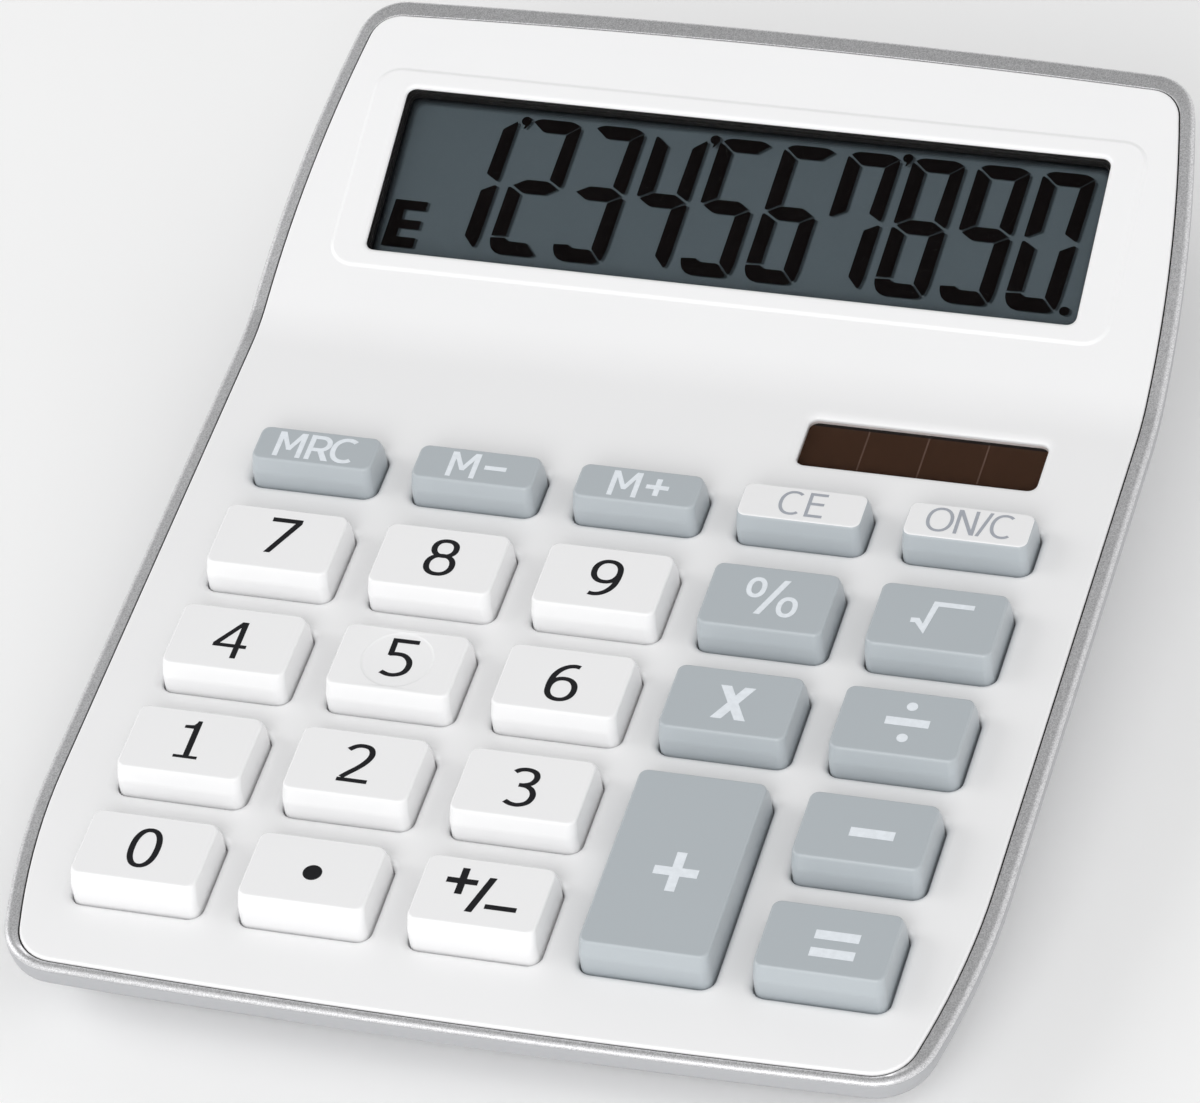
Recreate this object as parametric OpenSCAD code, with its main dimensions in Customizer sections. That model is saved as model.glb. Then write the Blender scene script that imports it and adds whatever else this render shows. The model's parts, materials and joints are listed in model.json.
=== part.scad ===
// Desk calculator with a raised display, a solar window and 24 keys.
//
// Three frames are used. The table frame has Z up and the table at z = 0. The deck frame lies on the
// keypad face: x to the right, y from the front edge to the back, z out of the face. The display frame
// starts on the bend line and lies on the display face. A depth is measured inwards from either face.

/* [Keypad] */
// Distance between key columns
col_pitch = 23; // [22.5:0.1:24]
// Distance between key rows
row_pitch = 19; // [18.6:0.1:20.5]
// Width of a key at its foot
key_w = 17.5; // [16.5:0.1:17.8]
// Front-to-back size of a key at its foot
key_d = 13; // [12:0.1:13.2]
// Front-to-back size of a memory-row key at its foot
memory_key_d = 8; // [7.4:0.1:9]
// Height of the key tops above the keypad face
key_h = 4; // [3:0.1:5]
// Corner radius of a key
key_r = 1.6; // [0.8:0.1:2.2]
// How far the front and back faces of a key lean in
key_lean = 0.95; // [0.4:0.05:1.4]
// Height of the leaning part of a key's front and back faces
key_lean_h = 2.1; // [1:0.1:2.6]
// How far the left and right faces of a key lean in
key_side_lean = 0.15; // [0.05:0.05:0.5]
// Wall of the hollow key caps
key_wall = 1.2; // [0.8:0.1:1.5]
// Gap between a key and its opening
key_gap = 0.3; // [0.2:0.05:0.4]
// How far a key's flange reaches out under the cover
flange_reach = 0.8; // [0.6:0.05:0.9]
// Thickness of a key's flange
flange_t = 1; // [0.8:0.1:1.1]
// How far a key travels
key_travel = 1.2; // [0.8:0.1:1.5]
// Width of the shallow dish that marks the middle key
dish_w = 10; // [8:0.5:11]
// Depth of that dish
dish_d = 0.25; // [0.1:0.05:0.4]
// Gap between the front edge and the first row of keys
front_margin = 12; // [11.6:0.1:15]
// Gap between the last number row and the memory row
memory_gap = 7.2; // [7:0.1:9]
// Gap between the key field and each side of the case
side_margin = 10.75; // [10.5:0.05:13]

/* [Solar window] */
// Width of the solar window
solar_w = 33.6; // [30:0.2:36]
// Front-to-back size of the solar window
solar_d = 9; // [8:0.1:10]
// Gap between the memory row and the solar window
solar_gap = 7.6; // [7.5:0.1:9]
// How far the window's right edge stays inside the key field
solar_inset = 2.75; // [2:0.05:6]
// Corner radius of the solar opening
solar_r = 1.3; // [0.6:0.1:2]
// Corner radius of the solar cell and its seat
solar_seat_r = 0.5; // [0.3:0.1:1]
// How far the solar window and its cell reach under the cover
solar_seat = 1; // [0.8:0.1:1.1]
// Thickness of the clear solar window
solar_window_t = 0.8; // [0.6:0.1:1.1]
// Thickness of the solar cell
solar_cell_t = 1.1; // [0.8:0.1:1.4]

/* [Display] */
// How far each side of the display opening stays inside the key field
lcd_inset = 3.45; // [3.2:0.05:8]
// Height of the display opening along the display face
lcd_h = 26.5; // [24:0.5:30]
// Gap between the bend line and the display opening
lcd_front_margin = 13.75; // [13.5:0.25:16]
// Gap between the display opening and the back edge
lcd_back_margin = 15.75; // [15.25:0.25:18]
// Corner radius of the display opening
lcd_r = 1.3; // [0.6:0.1:2]
// Side margin of the raised border around the display opening
border_side = 4.85; // [4:0.05:5.5]
// Front and back margin of the raised border
border_end = 2.8; // [2:0.1:4]
// Height of the raised border over the display face
border_rise = 0.25; // [0.15:0.05:0.4]
// Corner radius of the raised border
border_r = 3.5; // [2:0.1:5]
// Thickness of the clear display window
lcd_window_t = 0.6; // [0.4:0.1:0.7]
// Thickness of the holder's bezel between the window and the glass
bezel_t = 0.9; // [0.7:0.1:1.2]
// How far the bezel reaches in past the cover's opening
bezel_reach = 0.3; // [0.2:0.05:0.6]
// How far the glass reaches past the opening on every side
glass_margin = 2.7; // [2.5:0.1:3]
// Thickness of one of the two glass plates
glass_t = 1; // [0.8:0.1:1.2]
// Width of the connector ledge along the front edge of the glass
ledge_w = 2; // [1.6:0.1:2.4]
// Thickness of the reflector behind the glass
reflector_t = 0.3; // [0.2:0.05:0.4]
// Wall of the display holder
holder_wall = 1.6; // [1.2:0.1:1.8]
// Width of the film connector
flex_w = 66; // [60:1:68]
// Thickness of the film connector
flex_t = 0.2; // [0.15:0.05:0.3]

/* [Case] */
// Height of the keypad face's front line above the table
front_h = 12; // [11.5:0.25:14]
// Tilt of the keypad face over the table, in degrees
deck_tilt = 5; // [4:0.25:7]
// Tilt of the display face over the keypad face, in degrees
display_tilt = 17.5; // [15:0.5:20]
// Gap between the solar window and the bend line
bend_gap = 5.7; // [5.4:0.1:8]
// Radius of the soft bend between the two faces
bend_r = 25; // [15:1:26]
// Length over which the keypad face rolls down to the front edge
roll_len = 29.5; // [20:0.5:33]
// Radius of that roll
roll_r = 400; // [300:10:800]
// Radius of the front edge, seen from above
front_edge_r = 1800; // [900:50:3000]
// Radius of the back edge, seen from above
back_edge_r = 1500; // [900:50:3000]
// Length of the side edges that curve in towards the front
front_flare_len = 34; // [28:0.5:38]
// Radius of that curve
front_flare_r = 120; // [110:5:200]
// Length of the side edges that curve in towards the back
back_flare_len = 50.5; // [36:0.5:54]
// Radius of that curve
back_flare_r = 227; // [170:1:300]
// Radius of the front corners
front_corner_r = 8; // [6.5:0.25:10]
// Radius of the back corners
back_corner_r = 6.6; // [5:0.2:10]
// Thickness of the cover
cover_t = 2; // [1.8:0.1:2.2]
// Thickness of the cover's lip over the display and solar windows
lip_t = 0.8; // [0.6:0.1:0.9]
// Width of the silver frame at the sides
frame_side = 2; // [1.8:0.1:3]
// Width of the silver frame at the front
frame_front = 1; // [0.8:0.1:2]
// Width of the silver frame at the back
frame_back = 2.6; // [2:0.1:3]
// How far the silver frame lies below the cover's face
frame_drop = 0.3; // [0.2:0.05:0.4]
// Thickness of the silver frame
frame_t = 0.8; // [0.7:0.05:0.9]
// Gap between the silver frame and the cover
frame_gap = 0.12; // [0.08:0.02:0.2]
// Thickness of the cover's rim under the silver frame
rim_t = 0.9; // [0.6:0.1:1]
// Gap between the cover's rim and the case wall
rim_gap = 0.1; // [0.08:0.02:0.2]
// How far the cover's rim stays inside the case's outline
rim_inset = 0.9; // [0.8:0.05:1.1]
// Depth at which the upright case wall ends
wall_depth = 2.1; // [2.1:0.1:2.6]
// Depth at which the case begins to taper towards the base
belly_depth = 3.4; // [3.2:0.1:4]
// How far the case has drawn in by then at the sides and the back
belly_side = 0.4; // [0.1:0.1:0.6]
// How far it has drawn in by then at the front
belly_front = 0.1; // [0:0.1:0.5]
// Wall of the lower case
case_wall = 2; // [1.6:0.1:2.2]
// How far the base stays inside the front edge
base_front = 9; // [7:0.25:10]
// How far the base stays inside the back edge
base_back = 16; // [12:0.5:18]
// How far the base stays inside the sides at its front end
base_side_front = 7.5; // [6.5:0.25:9]
// How far the base stays inside the sides at its back end
base_side_back = 15.5; // [12:0.5:17]
// Corner radius of the base
base_r = 8; // [5:0.5:10]

/* [Feet and screws] */
// Diameter of a rubber foot
foot_w = 10; // [8:0.5:12]
// How far the feet stand out of the base
foot_h = 1; // [0.8:0.1:1.5]
// Depth of the recess that holds a foot
foot_recess = 0.8; // [0.5:0.1:1]
// Gap between a foot's edge and the edges of the base
foot_margin = 4; // [3.5:0.5:8]
// Shank radius of a case screw
case_screw_r = 1.2; // [1:0.05:1.3]
// Head radius of a case screw
case_head_r = 2.3; // [2:0.1:2.6]
// Head height of a case screw
case_head_h = 1.3; // [1:0.1:1.5]
// Shank radius of the board and holder screws
small_screw_r = 0.9; // [0.8:0.05:1]
// Head radius of the board and holder screws
small_head_r = 1.8; // [1.5:0.1:2]
// Head height of the board and holder screws
small_head_h = 1; // [0.8:0.1:1.2]
// Outer radius of the screw bosses under the cover
boss_r = 2.15; // [2:0.05:2.2]
// Outer radius of the screw posts in the lower case
post_r = 3; // [2.8:0.1:3.3]

/* [Keypad mat and board] */
// Thickness of the silicone sheet
mat_t = 0.8; // [0.6:0.1:1]
// Height of a silicone dome that is pressed flat
dome_flat_h = 0.8; // [0.7:0.1:1]
// Radius of a dome at its foot
dome_foot_r = 4.4; // [3.8:0.1:4.6]
// Radius of a dome at its top
dome_top_r = 2.8; // [2.4:0.1:3.2]
// Thickness of the circuit board
board_t = 1.6; // [1.2:0.1:1.8]
// How far the board reaches past the key field at each side
board_side = 1.2; // [0.5:0.1:1.5]
// Gap between a boss and the hole it passes through
boss_gap = 0.4; // [0.3:0.05:0.6]

/* [Battery] */
// Radius of the button cell
cell_r = 5.8; // [5.6:0.1:5.9]
// Height of the button cell
cell_h = 3.1; // [2.8:0.1:3.6]
// Width of the battery door
door_w = 26; // [24:0.5:30]
// Front-to-back size of the battery door
door_d = 20; // [18:0.5:22]
// Thickness of the battery door
door_t = 1.3; // [1:0.1:1.4]
// Gap around the battery door
door_gap = 0.2; // [0.15:0.05:0.3]
// Width of the ledge that the battery door rests on
door_ledge = 1.6; // [1.2:0.1:2]
// Distance from the bend line back to the button cell
cell_back = 16; // [13:0.5:18]
// Thickness of the contact strips
strip_t = 0.3; // [0.2:0.05:0.35]
// Width of the contact strips
strip_w = 4; // [3:0.1:4.5]
// Diameter of the wires
wire_w = 1; // [0.8:0.1:1.2]

/* [Hidden] */
$fn = 48;
arc_steps = 6;
tiny = 0.01;
tuck = 0.05;
far = 400;
overrun = 5;

KEYS = [
    // name, column, row, rows covered, body colour
    ["key_mrc", 0, 4, 1, "grey"],
    ["key_m_minus", 1, 4, 1, "grey"],
    ["key_m_plus", 2, 4, 1, "grey"],
    ["key_ce", 3, 4, 1, "grey"],
    ["key_on_c", 4, 4, 1, "grey"],
    ["key_7", 0, 3, 1, "white"],
    ["key_8", 1, 3, 1, "white"],
    ["key_9", 2, 3, 1, "white"],
    ["key_percent", 3, 3, 1, "grey"],
    ["key_root", 4, 3, 1, "grey"],
    ["key_4", 0, 2, 1, "white"],
    ["key_5", 1, 2, 1, "white"],
    ["key_6", 2, 2, 1, "white"],
    ["key_multiply", 3, 2, 1, "grey"],
    ["key_divide", 4, 2, 1, "grey"],
    ["key_1", 0, 1, 1, "white"],
    ["key_2", 1, 1, 1, "white"],
    ["key_3", 2, 1, 1, "white"],
    ["key_plus", 3, 0, 2, "grey"],
    ["key_minus", 4, 1, 1, "grey"],
    ["key_0", 0, 0, 1, "white"],
    ["key_point", 1, 0, 1, "white"],
    ["key_sign", 2, 0, 1, "white"],
    ["key_equals", 4, 0, 1, "grey"]
];
DISHED_KEY = "key_5";

white = [0.94, 0.94, 0.94];
grey = [0.68, 0.71, 0.74];
silver = [0.62, 0.62, 0.63];
dark = [0.12, 0.12, 0.13];

// Key field
cols = 5;
memory_row = 4;
mid_col = (cols - 1) / 2;
field_w = (cols - 1) * col_pitch + key_w;
first_row_y = front_margin + key_d / 2;
last_row_y = first_row_y + (memory_row - 1) * row_pitch;
memory_y = last_row_y + key_d / 2 + memory_gap + memory_key_d / 2;
flange_depth = cover_t + flange_t;
flange_room = 0.3;
function col_x(c) = (c - mid_col) * col_pitch;
function row_y(r) = r == memory_row ? memory_y : first_row_y + r * row_pitch;
function key_x(k) = col_x(k[1]);
function key_y(k) = row_y(k[2]) + (k[3] - 1) * row_pitch / 2;
function key_depth(k) = k[2] == memory_row ? memory_key_d : key_d + (k[3] - 1) * row_pitch;

// Case
case_w = field_w + 2 * side_margin;
solar_x = field_w / 2 - solar_inset - solar_w / 2;
solar_y = memory_y + memory_key_d / 2 + solar_gap + solar_d / 2;
bend_y = solar_y + solar_d / 2 + bend_gap;
solar_slack = 0.1;
solar_rib_t = 1;
display_l = lcd_front_margin + lcd_h + lcd_back_margin;
case_l = bend_y + display_l * cos(display_tilt);
seam_depth = frame_drop + frame_t;
rim_inner = frame_side + 1.7;
base_z = foot_h;
floor_z = base_z + case_wall;

// The part's origin is under the middle of its box
front_most = -sin(deck_tilt) * (sqrt((roll_r - frame_drop) ^ 2 - roll_len ^ 2) - roll_r);
wall_end_z = (case_l - bend_y) * tan(display_tilt) - wall_depth / cos(display_tilt);
back_most = case_l * cos(deck_tilt) - wall_end_z * sin(deck_tilt);
origin_shift = -(front_most + back_most) / 2;

// Display stack, as depths below the display face
lcd_w = field_w - 2 * lcd_inset;
lcd_s = lcd_front_margin + lcd_h / 2;
window_depth = lip_t + lcd_window_t;
glass_depth = window_depth + bezel_t;
glass_w = lcd_w + 2 * glass_margin;
glass_h = lcd_h + 2 * glass_margin;
glass_back = glass_depth + 2 * glass_t;
holder_depth = glass_back + reflector_t + 0.4;
glass_gap = 0.15;
holder_w = glass_w + 2 * (glass_gap + holder_wall);
holder_h = glass_h + 2 * (glass_gap + holder_wall);
window_reach = 1.6;
pocket_gap = 0.2;
holder_screw_x = 40;
ear_r = 2.9;
ear_t = 1.6;
holder_screw_s = holder_h / 2 + boss_r;

// Keypad stack, as depths below the keypad face
dome_depth = flange_depth + 0.2;
dome_h = key_travel + dome_flat_h;
mat_depth = dome_depth + dome_h;
board_depth = mat_depth + mat_t;
board_back = board_depth + board_t;
boss_end = board_back + 0.6;
board_w = field_w + 2 * board_side;
board_y0 = first_row_y - dome_foot_r - 2.6;
board_y1 = solar_y - 1.8;
mat_y1 = memory_y + memory_key_d / 2 + 1.2;

// Screw places in the deck frame
between_rows = (row_pitch - key_d) / 2 + key_d / 2;
memory_mid_y = last_row_y + key_d / 2 + memory_gap / 2;
top_screw_y = memory_y + memory_key_d / 2 + flange_reach + boss_r + 0.6;
rear_screw_y = bend_y + 2;
rear_screw_x = 46;
screw_side_step = 0.7;
CASE_SCREWS = [for (s = [-1, 1]) each [
    [s * (1.5 * col_pitch + screw_side_step), row_y(0) + between_rows],
    [s * 1.5 * col_pitch, memory_mid_y],
    [s * rear_screw_x, rear_screw_y]
]];
BOARD_SCREWS = [
    [-0.5 * col_pitch, row_y(0) + between_rows],
    [-1.5 * col_pitch, row_y(1) + between_rows],
    [1.5 * col_pitch, row_y(1) + between_rows],
    [-0.5 * col_pitch, row_y(2) + between_rows],
    [0.5 * col_pitch, row_y(2) + between_rows],
    [-2.17 * col_pitch, top_screw_y],
    [2.17 * col_pitch, top_screw_y]
];
case_head_depth = 1.6;
thread_gap = 0.02;

// Battery bay in the table frame
cell_y = (bend_y + cell_back) * cos(deck_tilt);
cell_z = base_z + door_t;
cell_top = cell_z + cell_h;
bay_wall = 1.2;
bay_roof = cell_top + 2.2;
bay_top = bay_roof + 1;
bore_gap = 0.3;
strip_top = bay_top + 1;
strip_slot_gap = 0.15;

// Runs of the wires
wire_flex_gap = 4;
wire_pitch = 3;
wire_bend_x = 9;
wire_bend_run = 6;
wire_bend_rise = 1.5;
wire_pad_x = 10;

// Feet in the table frame
base_hw_front = case_w / 2 - base_side_front;
base_hw_back = case_w / 2 - base_side_back;
base_y1 = case_l - base_back;
foot_side = foot_w / 2 + foot_margin;
FEET = [for (s = [-1, 1]) each [
    [s * (base_hw_front - foot_side), base_front + foot_side],
    [s * (base_hw_back - foot_side), base_y1 - foot_side]
]];

// ---- frames ----

module on_table() translate([0, origin_shift, 0]) children();
module on_deck() translate([0, origin_shift, front_h]) rotate([deck_tilt, 0, 0]) children();
module on_display() on_deck() translate([0, bend_y, 0]) rotate([display_tilt, 0, 0]) children();

// Depth below the keypad face, at deck y, of the level z over the table
function level_depth(y, z) = (front_h + y * sin(deck_tilt) - z) / cos(deck_tilt);
// Deck [y, z] of the point at display s and depth d
function display_point(s, d) = [
    bend_y + s * cos(display_tilt) + d * sin(display_tilt),
    s * sin(display_tilt) - d * cos(display_tilt)
];

// ---- outlines ----

function arc(c, r, a0, a1, n) =
    [for (i = [0 : n]) c + r * [cos(a0 + (a1 - a0) * i / n), sin(a0 + (a1 - a0) * i / n)]];
function but_last(v) = [for (i = [0 : len(v) - 2]) v[i]];
function backwards(v) = [for (i = [len(v) - 1 : -1 : 0]) v[i]];
function angle_of(v) = atan2(v[1], v[0]);
// Where two circles meet, on the left of the way from c1 to c2 for side 1, on the right for side -1
function circles_meet(c1, r1, c2, r2, side) =
    let (
        d = norm(c2 - c1),
        u = (c2 - c1) / d,
        a = (r1 ^ 2 - r2 ^ 2 + d ^ 2) / (2 * d)
    )
    c1 + a * u + side * sqrt(r1 ^ 2 - a ^ 2) * [-u[1], u[0]];

// The case seen along the deck's z, drawn in by a width at the sides, the front and the back
function case_outline(side, front, back) =
    let (
        front_c = [0, front + front_edge_r],
        back_c = [0, case_l - back - back_edge_r],
        flare_c = [case_w / 2 - front_flare_r, front_flare_len],
        rear_c = [case_w / 2 - back_flare_r, case_l - back_flare_len],
        flare_r = front_flare_r - side,
        rear_r = back_flare_r - side,
        r1 = front_corner_r - side,
        r2 = back_corner_r - side,
        k1 = circles_meet(flare_c, flare_r - r1, front_c, front_edge_r - r1, -1),
        k2 = circles_meet(rear_c, rear_r - r2, back_c, back_edge_r - r2, 1),
        a1 = angle_of(k1 - front_c),
        a2 = angle_of(k1 - flare_c),
        a3 = angle_of(k2 - rear_c),
        a4 = angle_of(k2 - back_c),
        half = concat(
            but_last(arc(front_c, front_edge_r, -90, a1, 3)),
            but_last(arc(k1, r1, a1, a2, arc_steps)),
            arc(flare_c, flare_r, a2, 0, arc_steps),
            but_last(arc(rear_c, rear_r, 0, a3, arc_steps)),
            but_last(arc(k2, r2, a3, a4, arc_steps)),
            arc(back_c, back_edge_r, a4, 90, 3)
        )
    )
    concat(half, [for (i = [len(half) - 2 : -1 : 1]) [-half[i][0], half[i][1]]]);

// The roll down to the front edge at a depth, in the deck's y and z
function roll_line(d) =
    let (a = asin((roll_len + overrun) / (roll_r - d)))
    arc([roll_len, -roll_r], roll_r - d, 90 + a, 90, arc_steps);
// The line of the two faces at a depth
function face_line(d) =
    let (run = bend_r * tan(display_tilt / 2))
    concat(
        roll_line(d),
        arc([bend_y - run, bend_r], bend_r + d, -90, display_tilt - 90, arc_steps),
        [display_point(display_l + overrun, d)]
    );

function base_outline(inset) =
    let (
        r = base_r - inset,
        hw0 = base_hw_front - inset,
        hw1 = base_hw_back - inset,
        y0 = base_front + inset,
        y1 = base_y1 - inset,
        half = concat(
            arc([hw0 - r, y0 + r], r, -90, 0, arc_steps),
            arc([hw1 - r, y1 - r], r, 0, 90, arc_steps)
        )
    )
    concat(half, [for (p = backwards(half)) [-p[0], p[1]]]);

module rounded(w, d, r) {
    square([w - 2 * r, d], center = true);
    square([w, d - 2 * r], center = true);
    for (x = [-1, 1], y = [-1, 1]) translate([x * (w / 2 - r), y * (d / 2 - r)]) circle(r);
}

// A rounded block from z0 to z1
module block(w, d, r, z0, z1) translate([0, 0, z0]) linear_extrude(z1 - z0) rounded(w, d, r);

module column(r, z0, z1) translate([0, 0, z0]) cylinder(r = r, h = z1 - z0);

// A [y, z] polygon drawn out to a width along x
module drawn_out(points, w) translate([-w / 2, 0, 0]) rotate([90, 0, 90]) linear_extrude(w) polygon(points);

module case_prism(side, front, back)
    translate([0, 0, -far / 4]) linear_extrude(far / 2) polygon(case_outline(side, front, back));

// What lies between two depth lines, inside an outline
module between(line0, line1, side, front, back)
    intersection() {
        case_prism(side, front, back);
        drawn_out(concat(line0, backwards(line1)), case_w + 2);
    }

module layer(d0, d1, side, front, back) between(face_line(d0), face_line(d1), side, front, back);

// ---- shells ----

module key_openings()
    for (k = KEYS) translate([key_x(k), key_y(k), 0])
        block(key_w + 2 * key_gap, key_depth(k) + 2 * key_gap, key_r + key_gap, -cover_t - 1, 1);

module solar_pocket() translate([solar_x, solar_y, 0]) {
    block(solar_w, solar_d, solar_r, -cover_t, 1);
    block(solar_w + 2 * solar_seat, solar_d + 2 * solar_seat, solar_seat_r, -far / 20, -lip_t);
}

module display_pocket() translate([0, lcd_s, 0]) {
    block(lcd_w, lcd_h, lcd_r, -cover_t - 1, 1);
    block(
        lcd_w + 2 * (window_reach + pocket_gap), lcd_h + 2 * (window_reach + pocket_gap), lcd_r,
        -cover_t - 1, -lip_t
    );
}

// Walls that hold the solar cell under the cover
module solar_rib() translate([solar_x, solar_y, 0])
    block(
        solar_w + 2 * (solar_seat + solar_rib_t), solar_d + 2 * (solar_seat + solar_rib_t),
        solar_seat_r + solar_rib_t,
        -lip_t - solar_window_t - solar_cell_t - 0.4, -cover_t / 2
    );

module holder_screw_places() translate([0, lcd_s, 0])
    for (x = [-1, 1], y = [-1, 1]) translate([x * holder_screw_x, y * holder_screw_s, 0]) children();

// Flat room under the front roll for the flanges of the front keys
module front_key_pocket() {
    reach = flange_reach + flange_room;
    y0 = first_row_y - key_d / 2 - reach;
    translate([-field_w / 2 - reach, y0, -far / 20])
        cube([field_w + 2 * reach, roll_len - y0, far / 20 - cover_t]);
}

module top_cover() color(white) {
    difference() {
        union() {
            on_deck() {
                difference() {
                    layer(
                        0, cover_t,
                        frame_side + frame_gap, frame_front + frame_gap, frame_back + frame_gap
                    );
                    front_key_pocket();
                }
                difference() {
                    layer(seam_depth, seam_depth + rim_t, rim_inset, rim_inset, rim_inset);
                    case_prism(rim_inner, rim_inner, rim_inner + 0.5);
                }
                solar_rib();
                for (p = CASE_SCREWS) translate(p) column(boss_r, -boss_end, -cover_t / 2);
                for (p = BOARD_SCREWS) translate(p) column(boss_r, -board_depth, -cover_t / 2);
            }
            on_display() {
                translate([0, lcd_s, 0])
                    block(
                        lcd_w + 2 * border_side, lcd_h + 2 * border_end, border_r,
                        -cover_t / 2, border_rise
                    );
                holder_screw_places() column(boss_r, -holder_depth + ear_t, -cover_t / 2);
            }
        }
        on_deck() {
            key_openings();
            solar_pocket();
            for (p = CASE_SCREWS) translate(p)
                column(case_screw_r + thread_gap, -boss_end - 1, -cover_t);
            for (p = BOARD_SCREWS) translate(p)
                column(small_screw_r + thread_gap, -board_depth - 1, -cover_t);
        }
        on_display() {
            display_pocket();
            holder_screw_places()
                column(small_screw_r + thread_gap, -holder_depth, -cover_t / 2);
        }
    }
}

module silver_frame() color(silver) on_deck() difference() {
    layer(frame_drop, seam_depth, 0, 0, 0);
    case_prism(frame_side, frame_front, frame_back);
}

module base_slab(inset, z0, z1)
    on_table() translate([0, 0, z0]) linear_extrude(z1 - z0) polygon(base_outline(inset));

// The tapered body under the upright wall, drawn in by a wall thickness
module tub(inset, floor, rise) {
    shared = 1;
    step = 0.5;
    side = inset + belly_side;
    front = inset + belly_front;
    hull() {
        on_deck() front_slab(wall_depth - step - rise, wall_depth, bend_y + shared, inset, inset);
        on_deck() front_slab(belly_depth - step, belly_depth, bend_y + shared, side, front);
        intersection() {
            base_slab(inset, floor, floor + step);
            on_deck() translate([-far / 2, -far / 2, -far / 2]) cube([far, far / 2 + bend_y + shared, far]);
        }
    }
    hull() {
        back_slab(wall_depth - step - rise, wall_depth, -shared, inset);
        back_slab(belly_depth - step, belly_depth, -shared, side);
        intersection() {
            base_slab(inset, floor, floor + step);
            on_deck() translate([-far / 2, bend_y - shared, -far / 2]) cube([far, far, far]);
        }
    }
}

module front_slab(d0, d1, end_y, side, front) between(
    concat(roll_line(d0), [[end_y, -d0]]), concat(roll_line(d1), [[end_y, -d1]]), side, front, side
);

module back_slab(d0, d1, start_s, inset) intersection() {
    on_deck() case_prism(inset, inset, inset);
    on_display() translate([-far / 2, start_s, -d1]) cube([far, far, d1 - d0]);
}

module screw_posts()
    for (p = CASE_SCREWS) translate(p)
        column(post_r, -level_depth(p[1], base_z + case_wall / 2), -boss_end);

module screw_post_holes()
    for (p = CASE_SCREWS) translate(p) {
        base_depth = level_depth(p[1], base_z);
        column(case_screw_r + 0.3, -base_depth - 1, -boss_end + 1);
        column(case_head_r + 0.3, -base_depth - 1, -base_depth + case_head_depth);
    }

module battery_bay() translate([0, cell_y, 0]) {
    ledge_w = door_w - 2 * door_ledge;
    ledge_d = door_d - 2 * door_ledge;
    block(ledge_w + 2 * bay_wall, ledge_d + 2 * bay_wall, 1, base_z + case_wall / 2, bay_top);
}

module battery_bay_hollow() translate([0, cell_y, 0]) {
    ledge_w = door_w - 2 * door_ledge;
    ledge_d = door_d - 2 * door_ledge;
    block(door_w + 2 * door_gap, door_d + 2 * door_gap, 1, base_z - 1, cell_z);
    column(cell_r + bore_gap, base_z, bay_roof);
    // Slots for the two contact strips, and room for a fingertip at the cell's edge
    for (x = [cell_r, -cell_r])
        translate([x - strip_slot_gap, -strip_w / 2 - strip_slot_gap, base_z + door_t])
            cube([strip_t + 2 * strip_slot_gap, strip_w + 2 * strip_slot_gap, far / 10]);
    block(cell_r, ledge_d, 1, base_z, bay_roof);
}

module bottom_case() color(silver) difference() {
    union() {
        difference() {
            union() {
                on_deck() layer(seam_depth, wall_depth, 0, 0, 0);
                tub(tuck, base_z, 0);
            }
            tub(case_wall, floor_z, 2);
        }
        on_deck() screw_posts();
        on_table() battery_bay();
    }
    on_deck() {
        difference() {
            layer(
                seam_depth - 1, seam_depth + rim_t,
                rim_inset - rim_gap, rim_inset - rim_gap, rim_inset - rim_gap
            );
            case_prism(case_wall + 1, case_wall + 1, case_wall + 1);
        }
        screw_post_holes();
    }
    on_table() {
        battery_bay_hollow();
        for (p = FEET) translate(p) column(foot_w / 2 + 0.1, 0, base_z + foot_recess);
    }
}

module battery_door() color(silver) on_table() translate([0, cell_y, 0]) difference() {
    block(door_w, door_d, 0.8, base_z, cell_z);
    // Thumb recess
    translate([0, -door_d / 2 + 4.5, base_z]) cylinder(r = 2.6, h = 0.9, center = true);
}

// ---- keys ----

module key_cap(k) {
    w = key_w;
    d = key_depth(k);
    foot = -flange_depth + tiny;
    shoulder = key_h - key_lean_h;
    color(k[4] == "white" ? white : grey) on_deck() translate([key_x(k), key_y(k), 0]) {
        difference() {
            union() {
                intersection() {
                    block(w, d, key_r, -flange_depth, key_h);
                    drawn_out([
                        [-d / 2, foot], [d / 2, foot], [d / 2, shoulder],
                        [d / 2 - key_lean, key_h], [-d / 2 + key_lean, key_h], [-d / 2, shoulder]
                    ], w + 2);
                    rotate([0, 0, 90]) drawn_out([
                        [-w / 2, foot], [w / 2, foot], [w / 2, 0],
                        [w / 2 - key_side_lean, key_h], [-w / 2 + key_side_lean, key_h], [-w / 2, 0]
                    ], d + 2);
                }
                block(w + 2 * flange_reach, d + 2 * flange_reach, key_r, -flange_depth, -cover_t);
            }
            block(w - 2 * key_wall, d - 2 * key_wall, key_r / 2, -flange_depth - 1, key_h - key_wall);
            if (k[0] == DISHED_KEY) {
                dish_r = ((dish_w / 2) ^ 2 + dish_d ^ 2) / (2 * dish_d);
                translate([0, 0, key_h - dish_d + dish_r]) sphere(dish_r, $fn = 96);
            }
        }
        column(2, -dome_depth, key_h - key_wall + tiny);
    }
}

// ---- keypad mat and board ----

module boss_holes(z0, z1) {
    for (p = CASE_SCREWS) translate(p) column(boss_r + boss_gap, z0, z1);
    for (p = BOARD_SCREWS) translate(p) column(boss_r + boss_gap, z0, z1);
}

module sheet_block(y0, y1, z0, z1) translate([0, (y0 + y1) / 2, 0]) block(board_w, y1 - y0, 2, z0, z1);

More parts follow.
